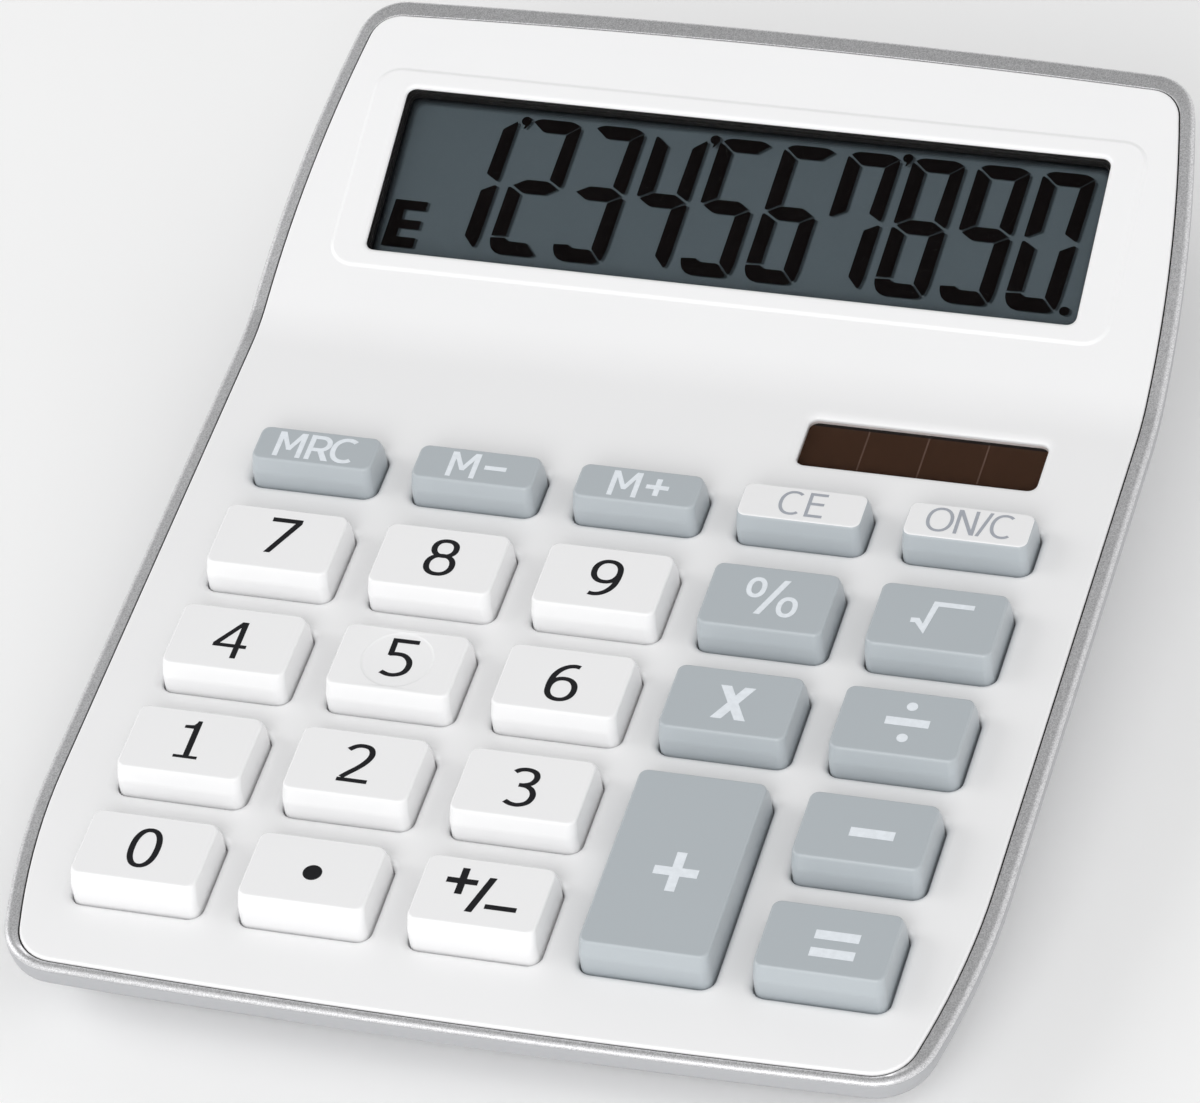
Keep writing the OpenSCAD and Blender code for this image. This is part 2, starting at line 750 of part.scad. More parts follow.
module keypad_mat() color([0.86, 0.86, 0.84]) on_deck() {
    difference() {
        sheet_block(board_y0, mat_y1, -board_depth, -mat_depth);
        boss_holes(-board_depth - 1, -mat_depth + 1);
    }
    for (k = KEYS) translate([key_x(k), key_y(k), -mat_depth])
        cylinder(r1 = dome_foot_r, r2 = dome_top_r, h = dome_h);
}

module key_board() color([0.62, 0.47, 0.22]) on_deck() difference() {
    sheet_block(board_y0, board_y1, -board_back, -board_depth);
    for (p = CASE_SCREWS) translate(p) column(boss_r + boss_gap, -far / 4, 0);
    for (p = BOARD_SCREWS) translate(p) column(small_screw_r + 0.2, -far / 4, 0);
}

module chip_blob() {
    blob_r = 6;
    blob_h = 1.6;
    ball_r = (blob_r ^ 2 + blob_h ^ 2) / (2 * blob_h);
    color(dark) on_deck() translate([-col_pitch / 2 - 4, row_y(2) - 6, -board_back]) intersection() {
        translate([0, 0, ball_r - blob_h]) sphere(ball_r, $fn = 96);
        translate([0, 0, -blob_h]) cylinder(r = blob_r, h = blob_h);
    }
}

module capacitor() {
    can_r = 2.5;
    can_l = 7;
    color(dark) on_deck() translate([col_pitch / 2, row_y(3), -board_back - can_r])
        rotate([0, 90, 0]) cylinder(r = can_r, h = can_l, center = true);
}

// ---- display ----

module lcd_window() color([0.8, 0.85, 0.85, 0.35]) on_display() translate([0, lcd_s, 0])
    block(lcd_w + 2 * window_reach, lcd_h + 2 * window_reach, lcd_r, -window_depth, -lip_t);

module lcd_holder() color(dark) on_display() difference() {
    union() {
        translate([0, lcd_s, 0]) {
            block(lcd_w + 2 * window_reach, lcd_h + 2 * window_reach, lcd_r, -cover_t - 1, -window_depth);
            block(holder_w, holder_h, 1, -holder_depth, -cover_t);
        }
        holder_screw_places() {
            column(ear_r, -holder_depth, -holder_depth + ear_t);
            // A tab joins each ear to the holder's wall
            translate([-ear_r, -ear_r, -holder_depth]) cube([2 * ear_r, 2 * ear_r, ear_t]);
        }
    }
    translate([0, lcd_s, 0]) {
        block(lcd_w - 2 * bezel_reach, lcd_h - 2 * bezel_reach, lcd_r, -far / 10, 1);
        block(glass_w + 2 * glass_gap, glass_h + 2 * glass_gap, 0.5, -far / 10, -glass_depth);
        // Way out for the film connector
        translate([-flex_w / 2 - 1, -holder_h / 2 - 1, -far / 10])
            cube([flex_w + 2, holder_wall + 2, far / 10 - glass_depth - glass_t + 0.3]);
    }
    holder_screw_places() column(small_screw_r + 0.2, -holder_depth - 1, 0);
}

module lcd_glass() color([0.36, 0.42, 0.44]) on_display() translate([0, lcd_s, 0]) {
    block(glass_w, glass_h, 0.4, -glass_depth - glass_t, -glass_depth);
    translate([0, ledge_w / 2, 0])
        block(glass_w, glass_h - ledge_w, 0.4, -glass_back, -glass_depth - glass_t);
}

module lcd_reflector() color([0.75, 0.76, 0.74]) on_display() translate([0, lcd_s + ledge_w / 2, 0])
    block(lcd_w + 2, lcd_h + 1, 0.4, -glass_back - reflector_t, -glass_back);

// The film runs from under the glass ledge down to the upper side of the board
module lcd_flex() {
    ledge_s = lcd_s - glass_h / 2;
    under = glass_depth + glass_t;
    land = 3.5;
    top = [
        display_point(ledge_s + ledge_w - 0.3, under),
        display_point(ledge_s - 3.4, under),
        [board_y1 + 3, -board_depth + 1],
        [board_y1, -board_depth + flex_t],
        [board_y1 - land, -board_depth + flex_t]
    ];
    color([0.7, 0.45, 0.2]) on_deck()
        drawn_out(concat(top, backwards([for (p = top) p - [0, flex_t]])), flex_w);
}

module holder_screws() color("silver") on_display() holder_screw_places() {
    column(small_screw_r, -holder_depth - tiny, -cover_t / 2 - 0.2);
    column(small_head_r, -holder_depth - small_head_h, -holder_depth);
}

// ---- solar cell ----

module solar_window() color([0.4, 0.3, 0.25, 0.4]) on_deck() translate([solar_x, solar_y, 0])
    block(
        solar_w + 2 * (solar_seat - solar_slack), solar_d + 2 * (solar_seat - solar_slack), solar_seat_r,
        -lip_t - solar_window_t, -lip_t
    );

module solar_cell() color([0.22, 0.15, 0.13]) on_deck() translate([solar_x, solar_y, 0])
    block(
        solar_w + 2 * (solar_seat - solar_slack), solar_d + 2 * (solar_seat - solar_slack), solar_seat_r,
        -lip_t - solar_window_t - solar_cell_t, -lip_t - solar_window_t
    );

// ---- wires ----

function tilt_of(v) = [0, acos(v[2] / norm(v)), atan2(v[1], v[0])];

// A wire through a list of points, with a small knuckle at each
module wire(points) {
    $fn = 12;
    for (i = [0 : len(points) - 2]) {
        v = points[i + 1] - points[i];
        translate(points[i]) rotate(tilt_of(v)) cylinder(d = wire_w, h = norm(v));
    }
    for (p = points) translate(p) sphere(d = 1.1 * wire_w);
}

module solar_wires() {
    cell_depth = lip_t + solar_window_t + solar_cell_t + wire_w / 2;
    pad_depth = board_depth - wire_w / 2;
    first_x = max(flex_w / 2 + wire_flex_gap, solar_x + wire_flex_gap / 2);
    color("firebrick") on_deck() for (x = [first_x, first_x + wire_pitch])
        wire([
            [x, solar_y, -cell_depth],
            [x, solar_y + 1.5, -cell_depth - 0.6],
            [x, solar_y - 2.2, -pad_depth + 0.3],
            [x, board_y1 - 2.6, -pad_depth]
        ]);
}

module battery_wires() {
    pad_y = board_y1 - 6;
    pad_z = front_h + pad_y * sin(deck_tilt) - (board_back + wire_w / 2) * cos(deck_tilt);
    pad_table_y = pad_y * cos(deck_tilt) + (board_back + wire_w / 2) * sin(deck_tilt);
    color("firebrick") on_table() for (s = [-1, 1]) {
        strip_x = s * (cell_r + wire_w / 2) + (s > 0 ? strip_t : 0);
        wire([
            [strip_x, cell_y, strip_top - wire_w / 2],
            [s * wire_bend_x, cell_y - wire_bend_run, strip_top + wire_bend_rise],
            [s * wire_pad_x, pad_table_y, pad_z]
        ]);
    }
}

// ---- battery ----

module button_cell() color([0.75, 0.75, 0.76]) on_table() translate([0, cell_y, 0]) {
    rim_step = 0.4;
    column(cell_r, cell_z, cell_top - rim_step);
    column(cell_r - 0.8, cell_z, cell_top);
}

module contact_positive() color("gold") on_table() translate([0, cell_y, 0])
    translate([cell_r, -strip_w / 2, cell_z + 0.3]) cube([strip_t, strip_w, strip_top - cell_z - 0.3]);

module contact_negative() color("gold") on_table() translate([0, cell_y, 0]) {
    translate([-cell_r, -strip_w / 2, cell_top]) cube([cell_r + 2, strip_w, strip_t]);
    translate([-cell_r, -strip_w / 2, cell_top]) cube([strip_t, strip_w, strip_top - cell_top]);
}

// ---- fasteners and feet ----

module case_screws() color("silver") on_deck() for (p = CASE_SCREWS) translate(p) {
    seat = level_depth(p[1], base_z) - case_head_depth;
    column(case_screw_r, -seat - tiny, -cover_t - 0.6);
    column(case_head_r, -seat - case_head_h, -seat);
}

module board_screws() color("silver") on_deck() for (p = BOARD_SCREWS) translate(p) {
    column(small_screw_r, -board_back - tiny, -cover_t - 0.6);
    column(small_head_r, -board_back - small_head_h, -board_back);
}

module rubber_feet() color(dark) on_table() for (p = FEET) translate(p)
    column(foot_w / 2, 0, base_z + foot_recess);

// ---- the parts ----

top_cover();
silver_frame();
bottom_case();
battery_door();
keypad_mat();
key_board();
chip_blob();
capacitor();
lcd_window();
lcd_holder();
lcd_glass();
lcd_reflector();
lcd_flex();
solar_window();
solar_cell();
solar_wires();
battery_wires();
button_cell();
contact_positive();
contact_negative();
case_screws();
board_screws();
holder_screws();
rubber_feet();
for (k = KEYS) key_cap(k);
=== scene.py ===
"""The looks of a desk calculator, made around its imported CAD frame.

Shapes are worked out in millimetres in three local frames: the table, the deck that carries the
keys, and the display, which rises behind the deck. They are turned into metres in the row frame.
"""
import json
from math import acos, atan2, copysign, cos, degrees, hypot, pi, radians, sin, sqrt, tan

import bmesh
import bpy
from mathutils import Matrix, Vector
from mathutils.geometry import delaunay_2d_cdt


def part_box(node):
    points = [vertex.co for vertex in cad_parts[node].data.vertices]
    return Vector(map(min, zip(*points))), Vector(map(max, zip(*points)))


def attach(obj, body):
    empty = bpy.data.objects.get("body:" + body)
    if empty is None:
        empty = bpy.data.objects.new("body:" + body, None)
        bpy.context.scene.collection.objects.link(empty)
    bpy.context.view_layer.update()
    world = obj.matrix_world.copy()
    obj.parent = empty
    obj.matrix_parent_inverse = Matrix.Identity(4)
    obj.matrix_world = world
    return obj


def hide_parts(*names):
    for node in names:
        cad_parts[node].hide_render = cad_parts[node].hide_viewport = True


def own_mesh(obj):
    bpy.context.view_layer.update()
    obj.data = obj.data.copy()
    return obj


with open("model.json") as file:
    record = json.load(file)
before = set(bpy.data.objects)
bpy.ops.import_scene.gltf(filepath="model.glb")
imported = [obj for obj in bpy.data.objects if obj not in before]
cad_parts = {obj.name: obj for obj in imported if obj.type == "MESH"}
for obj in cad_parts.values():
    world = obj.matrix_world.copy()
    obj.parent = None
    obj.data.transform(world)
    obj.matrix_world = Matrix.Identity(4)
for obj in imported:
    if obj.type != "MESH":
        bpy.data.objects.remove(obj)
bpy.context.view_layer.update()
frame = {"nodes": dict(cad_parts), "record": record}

# ---- sizes, in millimetres ----

MM = 0.001
FOOT_R = 5.0
FRONT_FOOT_Y = 18.0
FRONT_H = 12.0
DECK_TILT = radians(5)
DISPLAY_TILT = radians(17.5)
BEND_Y = 119.5
BEND_R = 25.0
ROLL_LEN = 29.5
ROLL_R = 400.0
FLAT_START = 6.0
FLAT_FADE = 3.0

CASE_W = 131.0
CASE_L = BEND_Y + 56.0 * cos(DISPLAY_TILT)
FRONT_EDGE_R = 1800.0
BACK_EDGE_R = 1500.0
FRONT_FLARE_LEN = 34.0
FRONT_FLARE_R = 120.0
BACK_FLARE_LEN = 50.5
BACK_FLARE_R = 227.0
FRONT_CORNER_R = 8.0
BACK_CORNER_R = 6.6

COVER_T = 2.0
COVER_EDGE_R = 0.4
FRAME_INSETS = (2.0, 1.0, 2.6)
FRAME_GAP = 0.2
FRAME_DROP = 0.3
FRAME_LAND = 1.0
FRAME_ROLL = 0.5
SEAM_DEPTH = 1.1
RIM_DEPTH = SEAM_DEPTH + 0.02
RIM_INSETS = (1.6, 0.8, 1.6)
WALL_DEPTH = 2.1
WALL_END = WALL_DEPTH - 0.2
BELLY_DEPTH = 3.4
BELLY_INSETS = (0.4, 0.1, 0.4)

BASE_Z = 1.0
BASE_EDGE = 1.2
BASE_FRONT = 9.0
BASE_BACK = CASE_L - 16.0
BASE_HALF_FRONT = CASE_W / 2 - 7.5
BASE_HALF_BACK = CASE_W / 2 - 15.5
BASE_R = 8.0
FOOT_RECESS = 0.8
FOOT_RIM = 0.5
FOOT_INSET = 9.0
FOOT_GAP = 0.1
SCREW_HOLE_R = 2.6
SCREW_HOLE_DEPTH = 1.6
SCREW_HOLE_FLOOR = BASE_Z + SCREW_HOLE_DEPTH + 1.2
SCREW_R = 1.2
SCREW_TIP = -COVER_T - 0.6
SCREW_HEAD_R = 2.3
SCREW_HEAD_H = 1.3
SCREW_RIM = 0.5
SCREW_CROWN = 0.3
CROSS_ARM = 1.2
CROSS_HALF = 0.24
CROSS_DEPTH = 0.8
SCREWS = [(s * x, y) for s in (-1, 1) for x, y in ((35.2, 28), (34.5, 85.6), (46, 121.5))]
DOOR_T = 1.3
DOOR_GAP = 0.2
DOOR_LEDGE = 1.6
DOOR_R = 1.0
CELL_BORE_R = 6.1
BAY_ROOF = 7.6
BAY_TOP = 8.6
BAY_WALL = 1.2
CASE_WALL = 2.0
SCREW_POST_R = 3.0
SCREW_POST_END = 8.2
SEAT_GAP = 0.03

KEY_H = 4.0
KEY_R = 1.6
KEY_EDGE_R = 1.25
KEY_GAP = 0.3
KEY_LEAN = 0.95
KEY_SHOULDER = 1.9
KEY_SIDE_LEAN = 0.15
FLANGE_REACH = 0.8
FLANGE_FOOT = -3.0
FLANGE_TOP = -COVER_T - 0.04
KEY_WALL = 1.2
POST_R = 2.0
POST_FOOT = -3.18
POST_ROOT = 0.2
DISH_R = 5.0
DISH_DEPTH = 0.25
DISH_STEP = 0.07

KEY_LIP = (1.3, 0.95)
SOLAR_LIP = (1.4, 0.6)
LCD_LIP = (0.7, 0.5)
LCD_W = 102.6
LCD_H = 26.5
LCD_S = 27.0
LCD_R = 1.3
LCD_BOX = (0, LCD_S, LCD_W, LCD_H, LCD_R)
BORDER_SIDE = 4.85
BORDER_END = 2.8
BORDER_R = 3.5
BORDER_RISE = 0.25
BORDER_STEP = 0.35
GLASS_DEPTH = 2.3
SOLAR_W = 33.6
SOLAR_D = 9.0

# ---- frames and nodes ----

NODES = frame["nodes"]
SLOTS = {part["node"]: part["material_slot"] for part in frame["record"]["subparts"]}
ORIGIN_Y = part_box("rubber_feet")[0].y / MM - (FRONT_FOOT_Y - FOOT_R)
TABLE = Matrix.Translation((0, ORIGIN_Y, 0))
DECK = Matrix.Translation((0, ORIGIN_Y, FRONT_H)) @ Matrix.Rotation(DECK_TILT, 4, "X")
DISPLAY = DECK @ Matrix.Translation((0, BEND_Y, 0)) @ Matrix.Rotation(DISPLAY_TILT, 4, "X")


def local_box(node, place):
    """Lowest and highest corners of a CAD node in a local frame."""
    back = place.inverted()
    points = [back @ (v.co / MM) for v in NODES[node].data.vertices]
    return [Vector([pick(p[i] for p in points) for i in range(3)]) for pick in (min, max)]


def place_of(node, place):
    """Centre, width and depth of a CAD node in a local frame."""
    lo, hi = local_box(node, place)
    return (lo.x + hi.x) / 2, (lo.y + hi.y) / 2, hi.x - lo.x, hi.y - lo.y


def face_z(y, depth):
    """Deck height of the faces' line at a depth, over the front roll, deck, bend and display."""
    turn_y = BEND_Y - BEND_R * tan(DISPLAY_TILT / 2)
    if y < ROLL_LEN:
        return sqrt((ROLL_R - depth) ** 2 - (y - ROLL_LEN) ** 2) - ROLL_R
    if y <= turn_y:
        return -depth
    if y < turn_y + (BEND_R + depth) * sin(DISPLAY_TILT):
        return BEND_R - sqrt((BEND_R + depth) ** 2 - (y - turn_y) ** 2)
    return (y - BEND_Y) * tan(DISPLAY_TILT) - depth / cos(DISPLAY_TILT)


def lerp(a, b, t):
    return a + (b - a) * t


def under_z(y):
    """Deck height of the cover's underside, which is flat over the front keys' flanges."""
    if y >= ROLL_LEN:
        return face_z(y, COVER_T)
    return lerp(face_z(y, COVER_T), -COVER_T, min(max((y - FLAT_START) / FLAT_FADE, 0), 1))


# ---- outlines ----


def spread(count):
    """Even shares of the way from 0, without the 1."""
    return [i / count for i in range(count)]


def arc(cx, cy, r, start, end, steps):
    """Points on an arc between two angles in degrees."""
    turns = [radians(lerp(start, end, i / steps)) for i in range(steps + 1)]
    return [(cx + r * cos(a), cy + r * sin(a)) for a in turns]


def circle(cx, cy, r, steps=40):
    return arc(cx, cy, r, 0, 360, steps)[:-1]


def rounded(cx, cy, w, d, r, grow=0, steps=6):
    """Points of a rounded rectangle that has grown on all sides, anticlockwise."""
    w, d, r = w + 2 * grow, d + 2 * grow, r + grow
    points = []
    for sx, sy, start in ((1, -1, -90), (1, 1, 0), (-1, 1, 90), (-1, -1, 180)):
        points += arc(cx + sx * (w / 2 - r), cy + sy * (d / 2 - r), r, start, start + 90, steps)
    return points


def circles_meet(c1, r1, c2, r2, side):
    """Where two circles meet: left of the way from c1 to c2 for side 1, right of it for -1."""
    dx, dy = c2[0] - c1[0], c2[1] - c1[1]
    d = hypot(dx, dy)
    along = (r1**2 - r2**2 + d**2) / (2 * d)
    off = side * sqrt(r1**2 - along**2)
    return (c1[0] + (along * dx - off * dy) / d, c1[1] + (along * dy + off * dx) / d)


REAR_Y = CASE_L - BACK_FLARE_LEN
BEND_STEP = 0.85
SIDE_YS = [FRONT_FLARE_LEN, 50, 66, 82, 98, 110] + [115.5 + BEND_STEP * i for i in range(8)]
# Shares of the way along each stretch of the right half: the front edge, its corner and flare,
# the side, then the rear flare, its corner and the back edge
STRETCHES = [
    spread(10), spread(9), spread(9),
    [(y - FRONT_FLARE_LEN) / (REAR_Y - FRONT_FLARE_LEN) for y in SIDE_YS],
    spread(14), spread(9), spread(10) + [1.0],
]


def ring_of(curves):
    """A closed outline from the right half's curves, which give the point for a share."""
    half = [curve(t) for curve, shares in zip(curves, STRETCHES) for t in shares]
    return half + [(-x, y) for x, y in reversed(half[1:-1])]


def bow(centre, r, start, end):
    """The curve along an arc."""

    def point(t):
        a = lerp(start, end, t)
        return (centre[0] + r * cos(a), centre[1] + r * sin(a))

    return point


def heading(start, end):
    return atan2(end[1] - start[1], end[0] - start[0])


def drawn_in(insets, more):
    """The three widths, each with more added."""
    return tuple(i + more for i in insets)


def case_arcs(side, front, back):
    """Centres, radii and end angles of the arcs of the case's outline."""
    front_c = (0, front + FRONT_EDGE_R)
    back_c = (0, CASE_L - back - BACK_EDGE_R)
    flare_c = (CASE_W / 2 - FRONT_FLARE_R, FRONT_FLARE_LEN)
    rear_c = (CASE_W / 2 - BACK_FLARE_R, REAR_Y)
    r1, r2 = FRONT_CORNER_R - side, BACK_CORNER_R - side
    flare_r, rear_r = FRONT_FLARE_R - side, BACK_FLARE_R - side
    k1 = circles_meet(flare_c, flare_r - r1, front_c, FRONT_EDGE_R - r1, -1)
    k2 = circles_meet(rear_c, rear_r - r2, back_c, BACK_EDGE_R - r2, 1)
    a1, a2 = heading(front_c, k1), heading(flare_c, k1)
    a3, a4 = heading(rear_c, k2), heading(back_c, k2)
    return [
        (front_c, FRONT_EDGE_R, -pi / 2, a1), (k1, r1, a1, a2), (flare_c, flare_r, a2, 0),
        (rear_c, rear_r, 0, a3), (k2, r2, a3, a4), (back_c, BACK_EDGE_R, a4, pi / 2),
    ]


def case_outline(insets, more=0):
    """The case seen along the deck's normal, drawn in at its sides, front and back."""
    insets = drawn_in(insets, more)
    curves = [bow(*part) for part in case_arcs(*insets)]
    straight = [lambda t: (CASE_W / 2 - insets[0], lerp(FRONT_FLARE_LEN, REAR_Y, t))]
    return ring_of(curves[:3] + straight + curves[3:])


def base_outline(inset):
    """The flat base seen from above, with as many points as the case's outline."""
    arcs = case_arcs(0, 0, 0)
    flare_start, corner_start = arcs[2][2], arcs[4][2]
    r = BASE_R - inset
    x0, y0 = front_c = (BASE_HALF_FRONT - BASE_R, BASE_FRONT + BASE_R)
    x1, y1 = back_c = (BASE_HALF_BACK - BASE_R, BASE_BACK - BASE_R)
    return ring_of([
        lambda t: (x0 * t, BASE_FRONT + inset),
        bow(front_c, r, -pi / 2, flare_start),
        bow(front_c, r, flare_start, 0),
        lambda t: (lerp(x0, x1, t) + r, lerp(y0, y1, t)),
        bow(back_c, r, 0, corner_start),
        bow(back_c, r, corner_start, pi / 2),
        lambda t: (x1 * (1 - t), BASE_BACK - inset),
    ])


def area(outline):
    """Area of an outline, which is positive if it runs anticlockwise."""
    pairs = zip(outline, outline[1:] + outline[:1])
    return sum(x0 * y1 - x1 * y0 for (x0, y0), (x1, y1) in pairs) / 2


def inside(x, y, outline):
    """True if a point lies inside a closed outline."""
    found = False
    for (x0, y0), (x1, y1) in zip(outline, outline[1:] + outline[:1]):
        if (y0 > y) != (y1 > y) and x < x0 + (y - y0) * (x1 - x0) / (y1 - y0):
            found = not found
    return found


# ---- meshes ----


def add(name, data):
    """A new object in the scene."""
    made = bpy.data.objects.new(name, data)
    bpy.context.scene.collection.objects.link(made)
    return made


CREASE = 40
WELD = 0.0005
KEEP_INSIDE = 1
SAME_SPOT = 1e-6


class Shell:
    """Rings and faces gathered in the row frame, which become one piece."""

    def __init__(self):
        self.points = []
        self.faces = []
        self.kinds = []

    def ring(self, place, points):
        first = len(self.points)
        self.points += [place @ Vector(p) * MM for p in points]
        return list(range(first, len(self.points)))

    def level(self, place, outline, height):
        """A ring along an outline, at one height or at a height(x, y)."""
        at = height if callable(height) else lambda x, y: height
        return self.ring(place, [(x, y, at(x, y)) for x, y in outline])

    def edges(self, profile, insets=(0, 0, 0)):
        """Rings along the case's outline, from a profile of widths drawn in and depths."""
        return [
            self.level(DECK, case_outline(insets, more), lambda x, y: face_z(y, depth))
            for more, depth in profile
        ]

    def face(self, indices, kind=0):
        self.faces.append(tuple(indices))
        self.kinds.append(kind)

    def bridge(self, rings, kind=0):
        """Joins each ring to the next one."""
        for a, b in zip(rings, rings[1:]):
            for i in range(len(a)):
                j = (i + 1) % len(a)
                self.face((a[i], a[j], b[j], b[i]), kind)

    def well(self, place, outline, start, end):
        """Walls along an outline from one height to another, and their end face."""
        walls = [self.level(place, outline, z) for z in (start, end)]
        self.bridge(walls)
        self.face(walls[-1])

    def spin(self, place, cx, cy, profile, steps=40, ends=(0, -1)):
        """A profile of radii and heights turned around an upright axis, with its end faces."""
        rings = [self.level(place, circle(cx, cy, r, steps), z) for r, z in profile]
        self.bridge(rings)
        for end in ends:
            self.face(rings[end])

    def sheet(self, outlines, keep, height, place, extra=()):
        """Triangles whose outlines keep approves of, at one height or at a height(x, y)."""
        points, groups = [], []
        for outline in outlines:
            indices = list(range(len(points), len(points) + len(outline)))
            groups.append(indices if area(outline) > 0 else indices[::-1])
            points += map(Vector, outline)
        points += map(Vector, extra)
        made = delaunay_2d_cdt(points, [], groups, KEEP_INSIDE, SAME_SPOT)
        corners, _, triangles, _, _, origins = made
        ring = self.level(place, corners, height)
        for triangle, origin in zip(triangles, origins):
            if keep(list(origin)):
                self.face([ring[i] for i in triangle])

    def plate(self, outline, holes, height, place, extra=()):
        """A sheet inside an outline and around holes."""
        self.sheet([outline] + holes, lambda origin: origin == [0], height, place, extra)

    def cover(self, outlines, height, place):
        """A sheet over all of several outlines."""
        self.sheet(outlines, lambda origin: origin, height, place)

    def piece(self, name, slot, replaces=(), finishes=(), body="case", crease=CREASE):
        """The piece: welded, facing outwards, and smooth up to the crease angle."""
        mesh = bpy.data.meshes.new(name)
        mesh.from_pydata(self.points, [], self.faces)
        for finish in finishes or [FINISHES[slot]]:
            mesh.materials.append(finish)
        mesh.polygons.foreach_set("material_index", self.kinds)
        work = bmesh.new()
        work.from_mesh(mesh)
        bmesh.ops.remove_doubles(work, verts=work.verts, dist=WELD * MM)
        bmesh.ops.recalc_face_normals(work, faces=work.faces)
        work.to_mesh(mesh)
        work.free()
        mesh.shade_smooth()
        mesh.set_sharp_from_angle(angle=radians(crease))
        piece = add(name, mesh)
        piece.modifiers.new("weighted normals", "WEIGHTED_NORMAL").keep_sharp = True
        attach(piece, body)
        if replaces:
            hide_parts(*replaces)
        return piece


def quarter(steps):
    """Shares (across, down) along a quarter ellipse, from the face to upright."""
    turns = [pi / 2 * i / steps for i in range(steps + 1)]
    return [(sin(a), 1 - cos(a)) for a in turns]


# ---- finishes ----

FLAKE = 0.13
COATING = (0.15, 0.15, 0.15, 1)
MIX_COLOURS = (6, 7)
MIX_RESULT = 2


class Nodes:
    """The shader nodes of a material or of the world."""

    def __init__(self, owner):
        owner.use_nodes = True
        self.tree = owner.node_tree

    def feed(self, node, **inputs):
        """Links each named socket of a node to another one, or gives it a value."""
        for name, value in inputs.items():
            socket = node.inputs[name.replace("_", " ").title().replace("Ior", "IOR")]
            if isinstance(value, bpy.types.NodeSocket):
                self.tree.links.new(value, socket)
            else:
                socket.default_value = value
        return node

    def node(self, kind, **inputs):
        return self.feed(self.tree.nodes.new("ShaderNode" + kind), **inputs)


class Finish(Nodes):
    """A material built on one Principled shader, with its textures in object space."""

    def __init__(self, name, colour, roughness, **values):
        self.material = bpy.data.materials.new(name)
        super().__init__(self.material)
        self.colour = colour
        self.shader = self.tree.nodes["Principled BSDF"]
        self.feed(self.shader, base_color=(*colour, 1), roughness=roughness, **values)
        self.where = self.node("TexCoord").outputs["Object"]

    def noise(self, size):
        """Noise with features of about a size."""
        made = self.node("TexNoise", vector=self.where, scale=1 / (size * MM), detail=2)
        return made.outputs["Fac"]

    def cells(self, size):
        """A random grey for each cell of about a size."""
        made = self.node("TexVoronoi", vector=self.where, scale=1 / (size * MM))
        return made.outputs["Color"]

    def remap(self, value, low, high, **limits):
        made = self.node("MapRange", value=value, to_min=low, to_max=high, **limits)
        return made.outputs["Result"]

    def colour_mix(self, factor, first, second):
        """Colours the surface between two colours."""
        made = self.node("Mix", factor=factor)
        made.data_type = "RGBA"
        for socket, colour in zip(MIX_COLOURS, (first, second)):
            made.inputs[socket].default_value = (*colour, 1)
        self.feed(self.shader, base_color=made.outputs[MIX_RESULT])

    def blend(self, share, first, second):
        """The material, with the second of two shaders for a share of its surface."""
        made = self.node("MixShader", fac=share)
        for socket, shader in enumerate((first, second), 1):
            self.tree.links.new(shader.outputs["BSDF"], made.inputs[socket])
        self.feed(self.tree.nodes["Material Output"], surface=made.outputs["Shader"])
        return self.material

    def see_through(self, colour=(1, 1, 1)):
        return self.node("BsdfTransparent", color=(*colour, 1))

    def tint(self, share, size):
        """Lets the colour drift by a share of itself over patches of a size."""
        low = [c * (1 - share) for c in self.colour]
        high = [min(1, c * (1 + share)) for c in self.colour]
        drift = self.remap(self.noise(size), 0, 1, from_min=0.3, from_max=0.7)
        self.colour_mix(drift, low, high)

    def sheen_change(self, low, high, size):
        """Lets the roughness drift between two values over patches of a size."""
        self.feed(self.shader, roughness=self.remap(self.noise(size), low, high))

    def grain(self, size, height, strength=0.5, cells=False):
        """Fine relief: grains of a size and a height."""
        source = self.cells(size) if cells else self.noise(size)
        bump = self.node("Bump", strength=strength, distance=height * MM, height=source)
        self.feed(self.shader, normal=bump.outputs["Normal"])


def moulded(name, colour, roughness, grain=0.35, height=0.004, specular=0.5):
    """Moulded plastic: a faint drift in colour and gloss, and a fine skin."""
    made = Finish(name, colour, roughness, specular_ior_level=specular)
    made.tint(0.004, 18)
    made.sheen_change(roughness - 0.012, roughness + 0.012, 9)
    made.grain(grain, height)
    return made.material


def flake_paint(name, dark, light, roughness):
    """Metallic paint: flakes of differing brightness and tilt."""
    made = Finish(name, light, roughness, metallic=0.6)
    made.colour_mix(made.remap(made.cells(FLAKE), 0, 1), dark, light)
    made.grain(FLAKE, 0.012, 0.6, cells=True)
    return made.material


def clear(name, colour):
    """Clear coated plastic that lets the lamps' light through."""
    made = Finish(name, colour, 0.03, transmission_weight=1, ior=1.46, specular_tint=COATING)
    shadow = made.node("LightPath").outputs["Is Shadow Ray"]
    return made.blend(shadow, made.shader, made.see_through(colour))


def metal(name, colour, roughness):
    made = Finish(name, colour, roughness, metallic=1.0)
    made.tint(0.06, 1.5)
    made.sheen_change(roughness - 0.06, roughness + 0.1, 0.8)
    made.grain(0.12, 0.002)
    return made.material


def printed(name, colour):
    """Printing ink: matte, with slightly uneven cover."""
    made = Finish(name, colour, 0.5, specular_ior_level=0.15)
    made.tint(0.04, 0.7)
    made.grain(0.1, 0.001)
    return made.material


